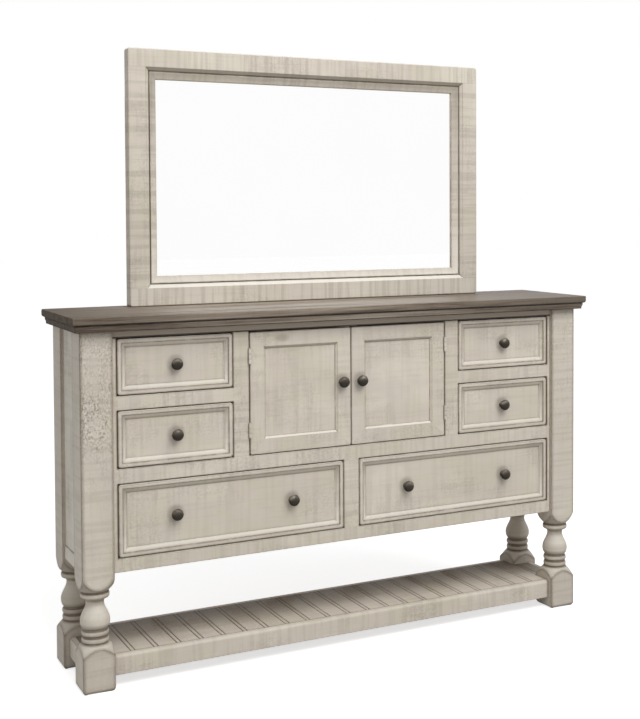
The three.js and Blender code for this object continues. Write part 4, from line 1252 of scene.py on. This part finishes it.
def dress_frames():
    eased("face_frame", painted("face_paint", "X", seed=8.2, sawn=0.3, boards=face_boards, soil_and_shade=along_posts))
    paint = painted(
        "mirror_paint", "X", seed=5.5, mottle=0.15, sawn=0.4, fresh_coat_and_light=low_rail_painted_light, shaded_undersides=0.75,
        boards=mirror_boards,
    )
    make_moulded("mirror_frame", MIRROR_EDGE, MIRROR_MOULDING, MIRROR_CORNER, paint, is_frame=True)


def dress_side(seed, side):
    """The side panel, the door and the drawer fronts of one side."""
    # The side panel is painted lighter, as painted light against the shade of its recess between the posts
    side_paint = painted(f"{side}_side_paint", "Z", seed=11.4 + seed, streak=0.16, fresh_coat_and_light=0.5)
    eased(f"{side}_side_panel", side_paint, reshape=bring_out(side))
    door = f"{side}_door_frame"
    # Marks on the door, with painted shadows along its top and beside its hinges
    marks = door_marks_and_shadows(door, smudge=0.35 if side == "left" else 0.0)
    door_paint = painted(f"{side}_door_paint", "X", seed=15.1 + seed, boards=mitred(door), soil_and_shade=marks)
    make_moulded(door, DOOR_EDGE, DOOR_BEVEL, DOOR_CORNER, door_paint, is_frame=True)
    eased(f"{side}_door_panel", painted(f"{side}_door_panel_paint", "X", seed=17.3 + seed, mottle=0.1))
    for row, drawer in enumerate(DRAWERS):
        front = f"{side}_{drawer}_drawer_front"
        paint = painted(
            f"{front}_paint", "X", seed=20.1 + len(DRAWERS) * seed + row, worn=8 * MM, mottle=0.15, lit_ledges=0.6,
            glaze=1.3, boards=mitred(front, DRAWER_BORDER), soil_and_shade=round_knobs(front),
        )
        make_moulded(front, FRONT_RIM, FRONT_SLOPE, FRONT_CORNER, paint)


def dress_shelf():
    rail_paint = painted("shelf_rail_paint", "X", seed=30.2, worn=4 * MM, sawn=0.3, lit_ledges=0.15, joined=True)
    eased("shelf_front_rail", rail_paint, reshape=round_front)
    eased("shelf_back_rail", rail_paint)
    side_rail_paint = painted("shelf_side_rail_paint", "Y", seed=31.2, mottle=0.4, lit_ledges=0.3, joined=True)
    for side in SIDES:
        eased(f"shelf_{side}_rail", side_rail_paint)
    # Painted shade towards the back of the planks
    plank_paint = painted("plank_paint", "Y", seed=32.7, worn=4 * MM, lit_ledges=0, joined=True, soil_and_shade=shade_on_planks)
    eased("shelf_planks", plank_paint, angle=PLANK_ANGLE)


def dress_top():
    top_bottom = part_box("top_board")[0][2]
    opening_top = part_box("face_frame")[1][2]
    moulding_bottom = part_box("front_left_leg")[1][2]
    # Painted shadow, near black, along the joints of the top
    eased("top_board", stained("weathered_top", "X", joints=[(top_bottom, 5 * MM)]))
    joints = [(top_bottom, 3 * MM), (moulding_bottom, 4 * MM), (opening_top, 5 * MM)]
    # The strip under the moulding is painted lighter, partly as painted light against the overhang's shade
    wood = stained("weathered_moulding", "X", seed=6.1, joints=joints, pale_and_lit_below=moulding_bottom + MM)
    eased("top_edge_moulding", wood, reshape=fill_out_cove)


def dress_hinges():
    paint = painted("hinge_paint", "Z", seed=40.3, worn=2.5 * MM, fresh_coat_and_light=0.35)
    for side in SIDES:
        for height in ("upper", "lower"):
            for leaf in ("case_leaf", "door_leaf"):
                eased(f"{side}_{height}_hinge_{leaf}", paint)


def dress_inside():
    """The bare wood inside and behind, the mirror's glass, the catch and the screws."""
    across = bare("bare_wood_across", "X")
    deep = bare("bare_wood_deep", "Y", seed=3.0)
    standing = bare("bare_wood_upright", "Z", seed=5.0)
    hardboard = pressed_board("hardboard")
    for node in ("middle_deck", "bottom_deck"):
        eased(node, across)
    for node in ("left_upper_partition", "right_upper_partition", "lower_partition"):
        eased(node, deep)
    for side in SIDES:
        eased(f"{side}_mirror_support", standing)
        for drawer in DRAWERS:
            eased(f"{side}_{drawer}_drawer_box", deep)
    for node in ("back_panel", "mirror_backboard"):
        eased(node, hardboard)
    eased("mirror_glass", silvered_glass("silvered_glass"))
    steel = dull_steel("dull_steel")
    eased("door_catch", steel)
    make_screws(steel)


make_camera()
make_world()
make_floor()
make_lamp("key", KEY_PLACE, KEY_SIZE, KEY_POWER)
make_lamp("fill", FILL_PLACE, FILL_SIZE, FILL_POWER)
dress_legs()
make_knobs(bronze("cast_bronze"))
dress_frames()
for side_seed, side_name in enumerate(SIDES):
    dress_side(side_seed, side_name)
dress_shelf()
dress_top()
dress_hinges()
dress_inside()

bpy.context.scene.view_settings.view_transform = "Standard"
